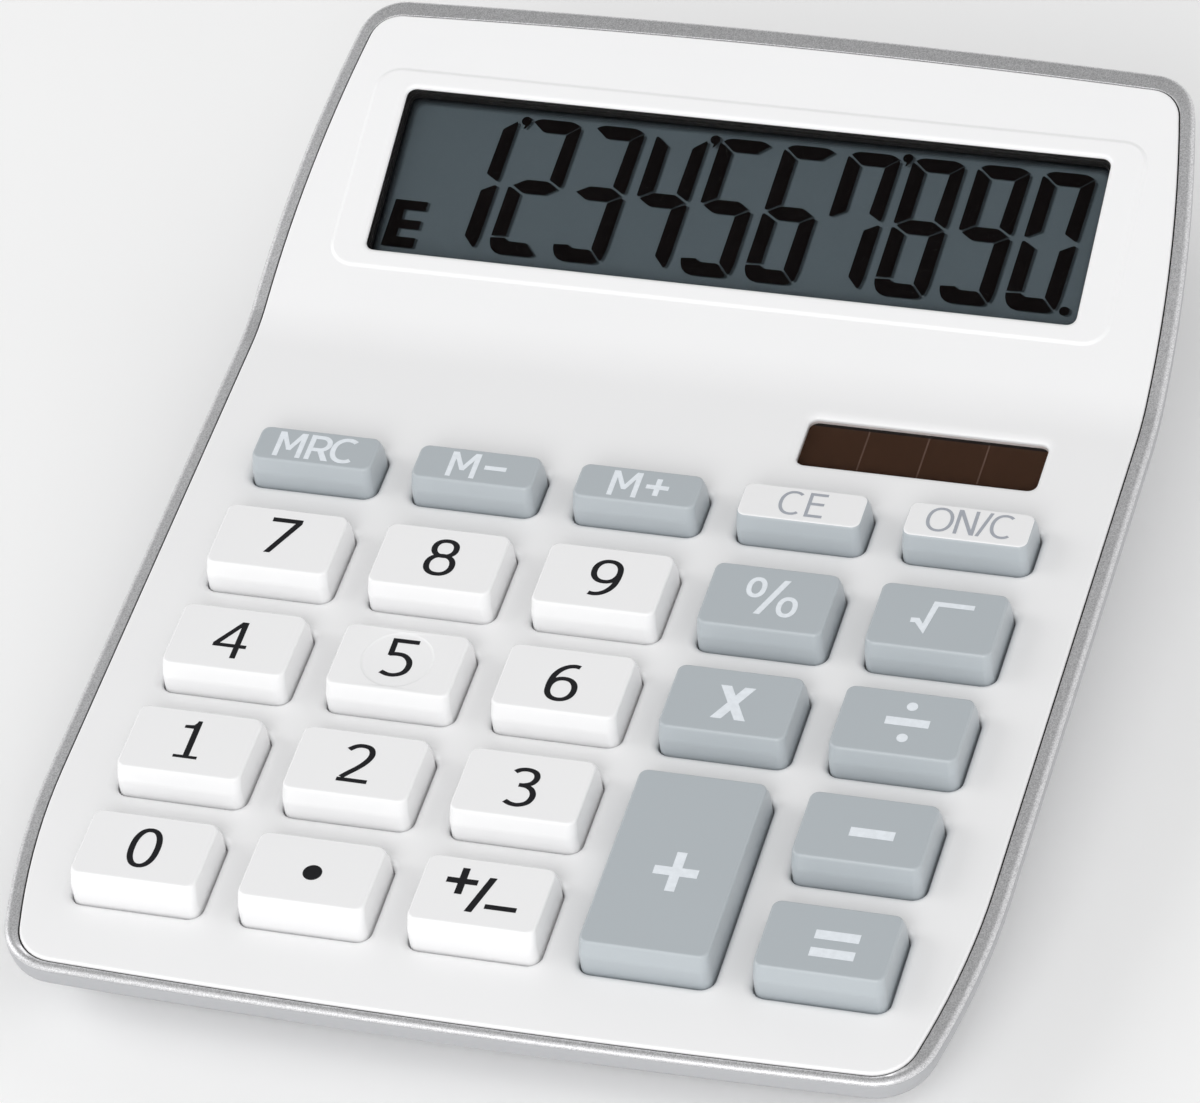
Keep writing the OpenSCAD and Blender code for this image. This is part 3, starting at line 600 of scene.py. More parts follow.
RECIPES = {
    "white_plastic": (moulded, (0.86, 0.86, 0.865), 0.3),
    "silver_paint": (flake_paint, (0.46, 0.46, 0.47), (0.84, 0.84, 0.85), 0.33),
    "grey_plastic": (moulded, (0.42, 0.425, 0.44), 0.42, 0.25, 0.012),
    "white_key": (moulded, (0.855, 0.855, 0.86), 0.26),
    "grey_key": (moulded, (0.435, 0.472, 0.497), 0.28),
    "silicone": (moulded, (0.72, 0.72, 0.68), 0.6, 0.2, 0.01),
    "board": (moulded, (0.3, 0.16, 0.05), 0.5, 0.3, 0.01),
    "black_resin": (moulded, (0.012, 0.012, 0.013), 0.15, 1.5, 0.03),
    "black_sleeve": (moulded, (0.015, 0.02, 0.05), 0.25),
    "clear_plastic": (clear, (0.95, 0.97, 0.97)),
    "black_plastic": (moulded, (0.012, 0.011, 0.011), 0.5, 0.2, 0.01, 0.25),
    "lcd": (moulded, (0.07, 0.084, 0.095), 0.4, 0.15, 0.001, 0.1),
    "reflector": (metal, (0.7, 0.71, 0.69), 0.5),
    "film": (moulded, (0.38, 0.17, 0.04), 0.35, 0.6, 0.006),
    "solar_cover": (clear, (0.86, 0.8, 0.78)),
    "solar": (moulded, (0.092, 0.052, 0.033), 0.3, 0.3, 0.002, 0.15),
    "wire": (moulded, (0.35, 0.015, 0.012), 0.4, 0.4, 0.004),
    "steel": (metal, (0.72, 0.71, 0.69), 0.26),
    "screw": (metal, (0.6, 0.6, 0.59), 0.3),
    "rubber": (moulded, (0.025, 0.025, 0.026), 0.75, 0.25, 0.02),
    "black_ink": (printed, (0.012, 0.012, 0.014)),
    "white_ink": (printed, (0.74, 0.78, 0.82)),
    "grey_ink": (printed, (0.36, 0.38, 0.42)),
    "white_top": (moulded, (0.83, 0.83, 0.835), 0.34, 0.2, 0.001),
    "lcd_segment": (moulded, (0.002, 0.001, 0.001), 0.5, 0.35, 0.004, 0.05),
}
FINISHES = {name: make(name, *values) for name, (make, *values) in RECIPES.items()}
SOFT_EDGES = {"battery_door": 0.2, "button_cell": 0.2, "capacitor": 0.3}


def dress_cad_nodes():
    """Each CAD node that stays gets the finish of its slot."""
    for name, slot in SLOTS.items():
        materials = NODES[name].data.materials
        materials.clear()
        materials.append(FINISHES[slot])
    for name, width in SOFT_EDGES.items():
        bevel = NODES[name].modifiers.new("soft edges", "BEVEL")
        bevel.width = width * MM
        bevel.segments = 3
        bevel.limit_method = "ANGLE"
        bevel.angle_limit = radians(CREASE)
        bevel.harden_normals = True


# ---- casings ----

def cut(shell, place, box, lip, top=0.0):
    """A hole in the cover: its softly rounded lip, its wall, and the underside's rim around it."""
    lip_w, lip_drop = lip
    on_deck = place is DECK
    rings = []
    for across, down in quarter(6):
        drop = lip_drop * down - top
        face = (lambda x, y: face_z(y, 0) - drop) if on_deck else -drop
        rings.append(shell.level(place, rounded(*box, lip_w * (1 - across)), face))
    under = (lambda x, y: under_z(y)) if on_deck else -COVER_T
    rings += [shell.level(place, rounded(*box, wider), under) for wider in (0, lip_w)]
    shell.bridge(rings)


def key_places():
    """Name, centre, width and depth of each key, from the CAD nodes."""
    places = {}
    for name in sorted(NODES):
        if name.startswith("key_") and name != "key_board":
            lo, hi = local_box(name, DECK)
            centre, size = (lo + hi) / 2, [hi[i] - lo[i] - 2 * FLANGE_REACH for i in (0, 1)]
            places[name] = (centre.x, centre.y, *size)
    return places


KEYS = key_places()


BORDER_CURVE = ((0, 0), (0.15, 0.03), (0.35, 0.25), (0.65, 0.75), (0.85, 0.97), (1, 1))
GRID_XS = [4.0 * i for i in range(-16, 17)]
GRID_YS = [2.2 * i for i in range(1, 14)] + [114.8 + BEND_STEP * i for i in range(11)]
EDGE_ROOM = 1.4
HOLE_ROOM = 0.7


def make_cover():
    """The white cover: one plate with its openings, the raised border and a rounded edge."""
    shell = Shell()
    insets = drawn_in(FRAME_INSETS, FRAME_GAP)
    edge_r = COVER_EDGE_R
    openings = []
    for x, y, w, d in KEYS.values():
        box = (x, y, w + 2 * KEY_GAP, d + 2 * KEY_GAP, KEY_R + KEY_GAP)
        openings.append((box, KEY_LIP))
    solar = place_of("solar_cell", DECK)[:2]
    openings.append(((*solar, SOLAR_W, SOLAR_D, LCD_R), SOLAR_LIP))
    for box, lip in openings:
        cut(shell, DECK, box, lip)

    # The raised border around the display, and the display's opening in it
    cut(shell, DISPLAY, LCD_BOX, LCD_LIP, BORDER_RISE)
    lip_edge = rounded(*LCD_BOX, LCD_LIP[0])
    around = (0, LCD_S, LCD_W + 2 * BORDER_SIDE, LCD_H + 2 * BORDER_END, BORDER_R)
    border = []
    for across, down in BORDER_CURVE:
        outline = rounded(*around, lerp(BORDER_STEP, -BORDER_STEP, across))
        border.append(shell.level(DISPLAY, outline, BORDER_RISE * down))
    border.append(shell.level(DISPLAY, lip_edge, BORDER_RISE))
    shell.bridge(border)

    def on_plan(outline):
        return [(x, BEND_Y + s * cos(DISPLAY_TILT)) for x, s in outline]

    # The outer edge rolls over to an upright side beside the frame
    profile = [(edge_r * (1 - across), edge_r * down) for across, down in quarter(5)]
    profile += [(0, COVER_T), (edge_r, COVER_T)]
    shell.bridge(shell.edges(profile, insets))

    # Points between the openings let both faces follow the front roll and the bend
    outline = case_outline(insets, edge_r)
    holes = [rounded(*box, lip[0]) for box, lip in openings]
    keep_out = [rounded(*box, lip[0] + HOLE_ROOM) for box, lip in openings]
    limit = case_outline(insets, EDGE_ROOM)
    extra = [(x, y) for x in GRID_XS for y in GRID_YS if inside(x, y, limit)]
    extra = [p for p in extra if not any(inside(*p, k) for k in keep_out)]
    rim, under = on_plan(rounded(*around, BORDER_STEP)), on_plan(lip_edge)
    shell.plate(outline, holes + [rim], lambda x, y: face_z(y, 0), DECK, extra)
    shell.plate(outline, holes + [under], lambda x, y: under_z(y), DECK, extra)
    shell.piece("top_cover_shell", "white_plastic", ["top_cover"])


def make_frame():
    """The silver ring around the cover: it slopes outwards and rolls over to its side."""
    shell = Shell()
    inner = [
        (0, SEAM_DEPTH), (0, FRAME_DROP + 0.1), (-0.03, FRAME_DROP + 0.03), (-0.1, FRAME_DROP),
    ]
    top_edge = FRAME_DROP + 0.14
    turns = quarter(8)
    outer = [(FRAME_LAND * (1 - across), top_edge + FRAME_ROLL * down) for across, down in turns]
    outer += [(0, SEAM_DEPTH - 0.12), (0.03, SEAM_DEPTH - 0.04), (0.12, SEAM_DEPTH)]
    rings = shell.edges(inner, FRAME_INSETS) + shell.edges(outer)
    shell.bridge(rings + shell.edges(inner[:1], FRAME_INSETS))
    shell.piece("silver_frame_ring", "silver_paint", ["silver_frame"])


def make_seam_shade():
    """A black strip in the gap between the cover and the frame: painted shade."""
    shell = Shell()
    depth = FRAME_DROP + 0.18
    shell.bridge(shell.edges([(-0.02, depth), (FRAME_GAP + 0.05, depth)], FRAME_INSETS))
    # Painted shade: a black strip that darkens the gap's bottom, not a part of the calculator
    shell.piece("cover_gap_shade", "black_plastic")


def make_lower_case():
    """The wall under the seam, the belly, the base with its recesses, and the inside."""
    shell = Shell()
    rim = [(0.16, RIM_DEPTH), (0.04, SEAM_DEPTH + 0.1), (0, SEAM_DEPTH + 0.2)]
    rings = shell.edges([(0, RIM_DEPTH)], RIM_INSETS) + shell.edges(rim)
    for i in range(7):
        t = i / 6
        insets = [inset * t * t for inset in BELLY_INSETS]
        rings += shell.edges([(0, lerp(WALL_END, BELLY_DEPTH, t))], insets)
    edge = case_outline(BELLY_INSETS)
    belly = [DECK @ Vector((x, y, face_z(y, BELLY_DEPTH))) for x, y in edge]
    foot = [TABLE @ Vector((x, y, BASE_Z)) for x, y in base_outline(0)]
    bottom = [TABLE @ Vector((x, y, BASE_Z)) for x, y in base_outline(BASE_EDGE)]
    here = Matrix.Identity(4)
    for t in (0.12, 0.3, 0.5, 0.7, 0.85):
        rings.append(shell.ring(here, [a.lerp(b, t) for a, b in zip(belly, foot)]))
    turn = 0.94
    for i in range(6):
        t = i / 5
        corners = zip(belly, foot, bottom)
        ring = [a.lerp(b, turn).lerp(b, t).lerp(b.lerp(c, t), t) for a, b, c in corners]
        rings.append(shell.ring(here, ring))
    shell.bridge(rings)
    make_base(shell)
    make_inside(shell)
    shell.piece("bottom_case_shell", "grey_plastic", ["bottom_case"])


def make_inside(shell):
    """The inner walls and floor, the battery bay's box and the screw posts."""
    floor, floor_z = base_outline(CASE_WALL), BASE_Z + CASE_WALL
    rings = shell.edges([(0, RIM_DEPTH), (0, WALL_DEPTH - 0.05)], RIM_INSETS)
    rings += shell.edges([(CASE_WALL, WALL_DEPTH)])
    rings += shell.edges([(CASE_WALL, BELLY_DEPTH)], BELLY_INSETS)
    shell.bridge(rings + [shell.level(TABLE, floor, floor_z)])
    x, y, w, d = place_of("battery_door", TABLE)
    less = 2 * (DOOR_LEDGE - BAY_WALL)
    box = rounded(x, y, w - less, d - less, DOOR_R)
    shell.plate(floor, [box], floor_z, TABLE)
    shell.well(TABLE, box, floor_z, BAY_TOP)
    for x, y in SCREWS:
        ends = (CASE_WALL / 2 - base_depth(y), -SCREW_POST_END)
        shell.spin(DECK, x, y, [(SCREW_POST_R, z) for z in ends], 24)


def feet_places():
    """Centres of the four feet in the table frame."""
    lo, hi = local_box("rubber_feet", TABLE)
    front = (BASE_HALF_FRONT - FOOT_INSET, lo.y + FOOT_R)
    back = (BASE_HALF_BACK - FOOT_INSET, hi.y - FOOT_R)
    return [(s * x, y) for s in (-1, 1) for x, y in (front, back)]


def base_depth(y):
    """Depth of the base's plane below a place on the deck."""
    return (FRONT_H + y * sin(DECK_TILT) - BASE_Z) / cos(DECK_TILT)


def screw_places():
    """Centres of the screws' heads where they meet the base, in the table frame."""
    back = TABLE.inverted()
    spots = [back @ (DECK @ Vector((x, y, -base_depth(y)))) for x, y in SCREWS]
    return [(spot.x, spot.y) for spot in spots]


def make_feet():
    """Rubber feet with rounded rims."""
    shell = Shell()
    profile = [(FOOT_R, BASE_Z + FOOT_RECESS - SEAT_GAP)]
    for across, down in quarter(6)[::-1]:
        profile.append((FOOT_R - FOOT_RIM * (1 - across), FOOT_RIM * (1 - down)))
    for x, y in feet_places():
        shell.spin(TABLE, x, y, profile)
    shell.piece("rubber_feet_set", "rubber", ["rubber_feet"])


QUARTER_TURNS = ((1, 0), (0, 1), (-1, 0), (0, -1))


def make_screws():
    """The case screws: domed heads with a cross recess, and their shanks."""
    shell = Shell()
    corner = [(CROSS_ARM, -CROSS_HALF), (CROSS_ARM, CROSS_HALF), (CROSS_HALF, CROSS_HALF)]
    quarters = [[(x * c - y * s, x * s + y * c) for x, y in corner] for c, s in QUARTER_TURNS]
    for x, y in SCREWS:
        seat = base_depth(y) - SCREW_HOLE_DEPTH
        end = -seat - SCREW_HEAD_H
        profile = [(SCREW_R, SCREW_TIP), (SCREW_R, -seat), (SCREW_HEAD_R, -seat)]
        for across, down in quarter(5)[::-1]:
            r = SCREW_HEAD_R - SCREW_RIM * (1 - across)
            profile.append((r, end + SCREW_CROWN * (1 - down)))
        shell.spin(DECK, x, y, profile, 32, (0,))
        cross = sum(moved(quarters, x, y), [])
        shell.plate(circle(x, y, SCREW_HEAD_R - SCREW_RIM, 32), [cross], end, DECK)
        shell.well(DECK, cross, end, end + CROSS_DEPTH)
    shell.piece("case_screw_set", "screw", ["case_screws"])


def make_base(shell):
    """The underside: a flat with soft-edged recesses and the battery bay."""
    soft = 0.25
    holes = []

    def sink(outlines, floor, close=True):
        """A recess: its outline for a growth, from the soft rim down to the floor."""
        profile = [(soft * (1 - across), BASE_Z + soft * down) for across, down in quarter(4)]
        rings = [shell.level(TABLE, outlines(grow), z) for grow, z in profile + [(0, floor)]]
        shell.bridge(rings)
        holes.append(outlines(soft))
        if close:
            shell.face(rings[-1])

    for x, y in feet_places():
        sink(lambda grow: circle(x, y, FOOT_R + FOOT_GAP + grow), BASE_Z + FOOT_RECESS)
    for x, y in screw_places():
        sink(lambda grow: circle(x, y, SCREW_HOLE_R + grow), SCREW_HOLE_FLOOR)

    x, y, w, d = place_of("battery_door", TABLE)
    room = (x, y, w + 2 * DOOR_GAP, d + 2 * DOOR_GAP, DOOR_R)
    ledge = BASE_Z + DOOR_T + SEAT_GAP
    sink(lambda grow: rounded(*room, grow), ledge, False)

    # The ledge under the door, the cell's round bay, and the finger room at its edge
    half_w = CELL_BORE_R / 2
    half_d = d / 2 - DOOR_LEDGE
    open_angle = degrees(acos(half_w / CELL_BORE_R))
    bay = []
    for side, start in ((1, -open_angle), (-1, 180 - open_angle)):
        bay += arc(x, y, CELL_BORE_R, start, start + 2 * open_angle, 14)
        bay += [(x + side * half_w, y + side * half_d), (x - side * half_w, y + side * half_d)]
    shell.plate(rounded(*room), [bay], ledge, TABLE)
    shell.well(TABLE, bay, ledge, BAY_ROOF)
    shell.plate(base_outline(BASE_EDGE), holes, BASE_Z, TABLE)


# ---- keys ----

WHITE_TOPS = ("key_ce", "key_on_c")
DISHED_KEY = "key_5"
PRINTED_RINGS = 4


def key_profile():
    """Rings of a key from its flange up: height, inset across, inset along, corner radius."""
    rings = [
        (FLANGE_FOOT, -FLANGE_REACH, -FLANGE_REACH, KEY_R),
        (FLANGE_TOP, -FLANGE_REACH, -FLANGE_REACH, KEY_R),
        (FLANGE_TOP, 0, 0, KEY_EDGE_R),
    ]
    slope = KEY_LEAN / (KEY_H - KEY_SHOULDER)
    soft = 0.35
    for t in (0, 0.25, 0.5, 0.75, 1):
        z = KEY_SHOULDER + lerp(-soft, soft, t)
        rings.append((z, KEY_SIDE_LEAN * z / KEY_H, slope * soft * t * t, KEY_EDGE_R))
    drop, side_turn, end_turn = 0.4, 0.42, 0.24
    start = (KEY_H - drop, KEY_SIDE_LEAN * (1 - drop / KEY_H), KEY_LEAN - slope * drop)
    corner = (KEY_H, KEY_SIDE_LEAN, KEY_LEAN)
    end = (KEY_H, KEY_SIDE_LEAN + side_turn, KEY_LEAN + end_turn)
    for i in range(7):
        t = i / 6
        curve = [lerp(lerp(a, b, t), lerp(b, c, t), t) for a, b, c in zip(start, corner, end)]
        rings.append((*curve, KEY_EDGE_R - 0.25 * t))
    return rings


def make_key(name):
    """A hollow cap: its flange, walls and top, and the post inside."""
    x, y, w, d = KEYS[name]
    shell = Shell()
    rings = []
    for z, across, along, r in key_profile():
        outline = rounded(x, y, w - 2 * across, d - 2 * along, r)
        rings.append(shell.level(DECK, outline, z))
    kind = 1 if name in WHITE_TOPS else 0
    shell.bridge(rings[: 1 - PRINTED_RINGS])
    shell.bridge(rings[-PRINTED_RINGS:], kind)

    # The hollow underneath, with the post that presses the mat's dome
    roof = KEY_H - KEY_WALL
    hollow = rounded(x, y, w - 2 * KEY_WALL, d - 2 * KEY_WALL, KEY_R / 2)
    under = [rings[0]] + [shell.level(DECK, hollow, z) for z in (FLANGE_FOOT, roof)]
    shell.bridge(under)
    shell.face(under[-1])
    shell.spin(DECK, x, y, [(POST_R, roof + POST_ROOT), (POST_R, POST_FOOT)], 24)
    if name == DISHED_KEY:
        shell.plate(outline, [circle(x, y, DISH_R, 64)], KEY_H, DECK)
        radii = [DISH_R * share for share in (1.0, 0.985, 0.9, 0.8, 0.6, 0.4, 0.2)]
        shell.spin(DECK, x, y, [(r, dish_z(r)) for r in radii], 64, (-1,))
    else:
        shell.face(rings[-1], kind)
    slot = SLOTS[name]
    finishes = [FINISHES[slot], FINISHES["white_top"]]
    shell.piece(name + "_cap", slot, [name], finishes[: kind + 1], name, crease=50)


def dish_z(radius):
    """Height of the dished key's top at a distance from its middle."""
    if radius >= DISH_R:
        return KEY_H
    deep = DISH_DEPTH - DISH_STEP
    ball_r = (DISH_R**2 + deep**2) / (2 * deep)
    return KEY_H - DISH_DEPTH + ball_r - sqrt(ball_r**2 - radius**2)


MAT_FOOT = -6.0
MAT_TOP = -5.2
MAT_W = 111.9
MAT_ENDS = (11.5, 98.4)
MAT_HOLE_R = 2.55
MAT_HOLES = [
    (-35.2, 28), (-11.5, 28), (35.2, 28), (-34.5, 47), (34.5, 47), (-11.5, 66), (11.5, 66),
    (-34.5, 85.6), (34.5, 85.6),
]
DOME = [
    (4.4, -5.25), (4.4, -5.1), (4.1, -4.75), (3.15, -3.7), (2.85, -3.42), (2.72, -3.24),
    (2.5, -3.2),
]


def make_mat():
    """The silicone mat: a sheet, and a dome for each key."""
    shell = Shell()
    front, back = MAT_ENDS
    outline = rounded(0, (front + back) / 2, MAT_W, back - front, 2)
    holes = [circle(x, y, MAT_HOLE_R, 32) for x, y in MAT_HOLES]
    for z in (MAT_FOOT, MAT_TOP):
        shell.plate(outline, holes, z, DECK)
    for edge in [outline] + holes:
        shell.bridge([shell.level(DECK, edge, z) for z in (MAT_FOOT, MAT_TOP)])
    shell.piece("keypad_sheet", "silicone", ["keypad_mat"])
    for key, (x, y, *_) in KEYS.items():
        shell = Shell()
        shell.spin(DECK, x, y, DOME, 28)
        dome = shell.piece(key + "_dome", "silicone")
        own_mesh(dome)


# ---- legends ----

STEM = 0.84
BAR = 0.66


def block(cx, cy, w, h):
    """An upright rectangle from its centre and size."""
    x, y = w / 2, h / 2
    return [(cx - x, cy - y), (cx + x, cy - y), (cx + x, cy + y), (cx - x, cy + y)]


def moved(shapes, dx, dy, turn=1):
    """Outlines shifted, and turned upside down for a turn of -1."""
    return [[(x * turn + dx, y * turn + dy) for x, y in shape] for shape in shapes]


def smooth(keys):
    """A curve through key points."""
    path = []
    last = len(keys) - 1
    for i in range(last):
        around = [keys[min(max(i + k, 0), last)] for k in (-1, 0, 1, 2)]
        for t in spread(5):
            w = (-t + 2 * t**2 - t**3, 2 - 5 * t**2 + 3 * t**3)
            w += (t + 4 * t**2 - 3 * t**3, t**3 - t**2)
            path.append(tuple(sum(p[k] * v for p, v in zip(around, w)) / 2 for k in (0, 1)))
    return path + [keys[-1]]


def oval(cx, cy, rx, ry, start=0, end=370, power=0.92):
    """Points on a slightly squared ellipse."""
    path = []
    for px, py in arc(0, 0, 1, start, end, 37):
        x, y = copysign(abs(px) ** power, px), copysign(abs(py) ** power, py)
        path.append((cx + rx * x, cy + ry * y))
    return path


def pen(path, stem=STEM, bar=BAR):
    """Outlines along a path, from a nib that is broad upright and thin level."""
    sides = []
    for i, (x, y) in enumerate(path):
        (x0, y0), (x1, y1) = path[max(i - 1, 0)], path[min(i + 1, len(path) - 1)]
        nx, ny = (y0 - y1) * stem / 2, (x1 - x0) * bar / 2
        off_x, off_y = nx * stem / 2 / hypot(nx, ny), ny * bar / 2 / hypot(nx, ny)
        sides.append(((x + off_x, y + off_y), (x - off_x, y - off_y)))
    return [[a[0], a[1], b[1], b[0]] for a, b in zip(sides, sides[1:])]


def bent(path, thick):
    """A stroke with mitred corners."""
    ways = [(Vector(b) - Vector(a)).normalized() for a, b in zip(path, path[1:])]
    normals = [Vector((-w.y, w.x)) for w in ways]
    sides = []
    for i, point in enumerate(path):
        before, after = normals[max(i - 1, 0)], normals[min(i, len(normals) - 1)]
        middle = (before + after).normalized()
        reach = min(thick / 2 / middle.dot(after), thick * 1.1)
        sides.append((Vector(point) + middle * reach, Vector(point) - middle * reach))
    return [[a[0], a[1], b[1], b[0]] for a, b in zip(sides, sides[1:])]


def letter_m(w, h, t):
    x, y = w / 2, h / 2
    deep = -0.22 * h
    vee = [
        (-x + 0.5 * t, y), (-x + 1.15 * t, y), (0, deep + 1.25 * t), (x - 1.15 * t, y),
        (x - 0.5 * t, y), (x - 0.75 * t, y - 1.25 * t), (0.4 * t, deep), (-0.4 * t, deep),
        (-x + 0.75 * t, y - 1.25 * t),
    ]
    return [block(-x + t / 2, 0, t, h), block(x - t / 2, 0, t, h), vee]


def letter_r(w, h, t):
    x, y = w / 2, h / 2
    top, middle = y - t / 2, -0.08 * h
    bowl_y, bowl_r = (top + middle) / 2, (top - middle) / 2
    bowl_x = x - 0.75 * t - bowl_r
    path = [(-x, top)] + arc(bowl_x, bowl_y, bowl_r, 90, -90, 14) + [(-x, middle)]
    leg = [(-0.1 * w, middle), (-0.1 * w + 1.25 * t, middle), (x, -y), (x - 1.3 * t, -y)]
    return [block(-x + t / 2, 0, t, h), leg] + pen(path, t, t * 0.9)


def letter_c(w, h, t):
    rx, ry = (w - t) / 2, (h - t * 0.9) / 2
    return pen(oval(0.08 * w, 0, rx + 0.08 * w, ry, 52, 308), t, t * 0.9)


def letter_e(w, h, t):
    x, y = w / 2, h / 2
    arms = [block(0, y - t / 2, w, t), block(-0.04 * w, 0.05 * h, 0.92 * w, t)]
    return [block(-x + t / 2, 0, t, h), block(0, t / 2 - y, w, t), *arms]


def letter_n(w, h, t):
    x, y = w / 2, h / 2
    slope = [(-x, y), (-x + 1.2 * t, y), (x, -y), (x - 1.2 * t, -y)]
    return [block(-x + t / 2, 0, t, h), block(x - t / 2, 0, t, h), slope]


def letter_o(w, h, t):
    return pen(oval(0, 0, (w - t) / 2, (h - t * 0.9) / 2), t, t * 0.9)


def slash(w, h, t):
    x, y = w / 2, h / 2
    return [[(-x, -y), (-x + t, -y), (x, y), (x - t, y)]]


def plus(cx, cy, w, h, level, upright):
    return [block(cx, cy, w, level), block(cx, cy, upright, h)]


def word(thick, rise, letters):
    """Letters side by side, each given by its function, width, height and place."""
    shapes = []
    for letter, w, h, place in letters:
        shapes += moved(letter(w, h, thick), place, rise)
    return shapes


SIX = pen(oval(0.0, -1.18, 1.78, 1.88)) + pen(smooth([
    (1.55, 2.95), (0.75, 3.05), (-0.15, 2.8), (-0.95, 2.15), (-1.55, 1.1), (-1.78, -0.2),
    (-1.78, -1.2),
]))
DIGIT_SHAPES = {
    "0": (0.1, 0.0, pen(oval(0, 0, 1.72, 3.1, power=0.88))),
    "1": (0.17, 0.45, [
        block(0, -3.1, 3.35, 0.5),
        [(-1.65, 1.9), (-0.3, 1.9), (-0.3, 2.6), (-0.75, 2.5), (-1.65, 2.42)],
        [
            (-0.34, -3.1), (0.5, -3.1), (0.5, 3.35), (-0.08, 3.35), (-0.2, 2.95), (-0.45, 2.6),
            (-0.34, 2),
        ],
    ]),
    "2": (0.4, 0.1, [block(0, -3.07, 4.2, 0.66)] + pen(smooth([
        (-1.9, 2.2), (-1.1, 2.85), (-0.15, 3.07), (0.95, 2.75), (1.42, 1.7), (1.05, 0.45),
        (0.2, -0.75), (-0.85, -1.85), (-1.6, -2.7),
    ]))),
    "3": (0.15, -0.35, pen(smooth([
        (-1.75, 2.5), (-1.1, 2.95), (-0.1, 3.1), (0.95, 2.75), (1.36, 1.85), (1.0, 0.9),
        (0.1, 0.42), (-0.7, 0.34),
    ])) + pen(smooth([
        (-0.7, 0.34), (0.35, 0.25), (1.25, -0.3), (1.64, -1.35), (1.25, -2.5), (0.2, -3.07),
        (-0.9, -3.02), (-1.8, -2.6),
    ]))),
    "4": (-0.23, -0.17, [
        block(1.05, 0, 0.8, 6.65),
        block(0, -1.1, 4.7, 0.62),
        [(0.55, 3.32), (1.45, 3.32), (1.0, 2.35), (0.66, 2.3), (-1.45, -0.8), (-2.35, -0.8)],
    ]),
    "5": (0.13, 0.42, [block(0.07, 3.07, 3.73, 0.68), block(-1.4, 1.9, 0.78, 3.0)] + pen(smooth([
        (-1.6, 0.6), (-0.6, 0.75), (0.5, 0.6), (1.35, -0.15), (1.63, -1.2), (1.3, -2.35),
        (0.3, -3.0), (-0.8, -3.05), (-1.85, -2.65),
    ]))),
    "6": (0.12, -0.4, SIX),
    "7": (0.48, 0.6, [
        block(0, 2.885, 4.27, 0.77),
        [(2.13, 3.27), (2.13, 2.45), (-0.75, -3.27), (-1.65, -3.27), (1.2, 2.5)],
    ]),
    "8": (0.42, 0.2, pen(oval(0, 1.68, 1.52, 1.42)) + pen(oval(0, -1.37, 1.77, 1.72))),
    "9": (0.33, 0.08, moved(SIX, 0, 0, -1)),
}
INK = 0.74
THIN = 0.48
LEGENDS = {
    "mrc": word(INK, 0, [
        (letter_m, 4.0, 4.7, -3.75), (letter_r, 3.46, 4.7, 0.55), (letter_c, 3.63, 4.8, 3.93),
    ]),
    "m_minus": word(INK, 0, [(letter_m, 4.1, 4.7, -1.8)]) + [block(2.77, -0.03, 3.1, 0.78)],
    "m_plus": word(INK, 0, [(letter_m, 4.1, 4.7, -1.85)]) + plus(2.72, 0, 3.2, 3.2, 0.78, 0.78),
    "ce": word(THIN, 0.1, [(letter_c, 3.2, 4.5, -1.65), (letter_e, 2.5, 4.5, 1.9)]),
    "on_c": word(THIN, 0.2, [
        (letter_o, 3.7, 4.5, -4.0), (letter_n, 2.8, 4.5, -0.38), (slash, 1.7, 4.5, 2.1),
        (letter_c, 3.1, 4.5, 4.47),
    ]),
    "percent": pen(oval(-2.06, 1.7, 1.02, 1.54), 0.7, 0.7)
    + pen(oval(2.83, -1.25, 1.08, 1.54), 0.7, 0.7)
    + [[(-1.4, -3.05), (-0.5, -3.05), (2.28, 3.5), (1.38, 3.5)]],
    "root": bent([(-3.4, -0.75), (-2.5, -0.7), (-1.4, -2.1), (-0.65, 2.6), (4.5, 2.6)], 0.85),
    "multiply": [
        [(-2.1, -3.2), (-0.6, -3.2), (2.7, 2.7), (1.2, 2.7)],
        [(-2.1, 2.7), (-0.6, 2.7), (2.7, -3.2), (1.2, -3.2)],
    ],
    "divide": [block(0.69, 0.2, 5.92, 1.38), circle(0.69, 3.0, 0.75), circle(0.69, -2.6, 0.75)],
    "minus": [block(1.0, -0.55, 5.92, 1.54)],
    "plus": plus(0.77, -1.65, 5.92, 6.73, 1.46, 1.35),
    "equals": [block(1.02, 0.75, 5.88, 1.5), block(1.02, -2.2, 5.88, 1.5)],
    "point": [circle(0.23, -0.35, 1.29)],
    "sign": plus(-3.04, 1.6, 4.2, 4.46, 0.92, 1.0)
    + word(1.0, -0.3, [(slash, 2.8, 6.1, 0)])
    + [block(3.17, -2.1, 4.27, 0.8)],
}
for digit, (dx, dy, shapes) in DIGIT_SHAPES.items():
    LEGENDS[digit] = moved(shapes, dx, dy)
INK_LIFT = 0.02


def make_legend(name):
    """The printing on a key, which follows its dish if it has one."""
    x, y = KEYS[name][:2]

    def height(px, py):
        dished = name == DISHED_KEY
        return (dish_z(hypot(px - x, py - y)) if dished else KEY_H) + INK_LIFT

    slot = SLOTS[name]
    ink = "grey_ink" if name in WHITE_TOPS else "black_ink" if slot == "white_key" else "white_ink"
    shell = Shell()
    shell.cover(moved(LEGENDS[name.removeprefix("key_")], x, y), height, DECK)
    shell.piece(name + "_legend", slot, (), [FINISHES[ink]], name)


# ---- display ----

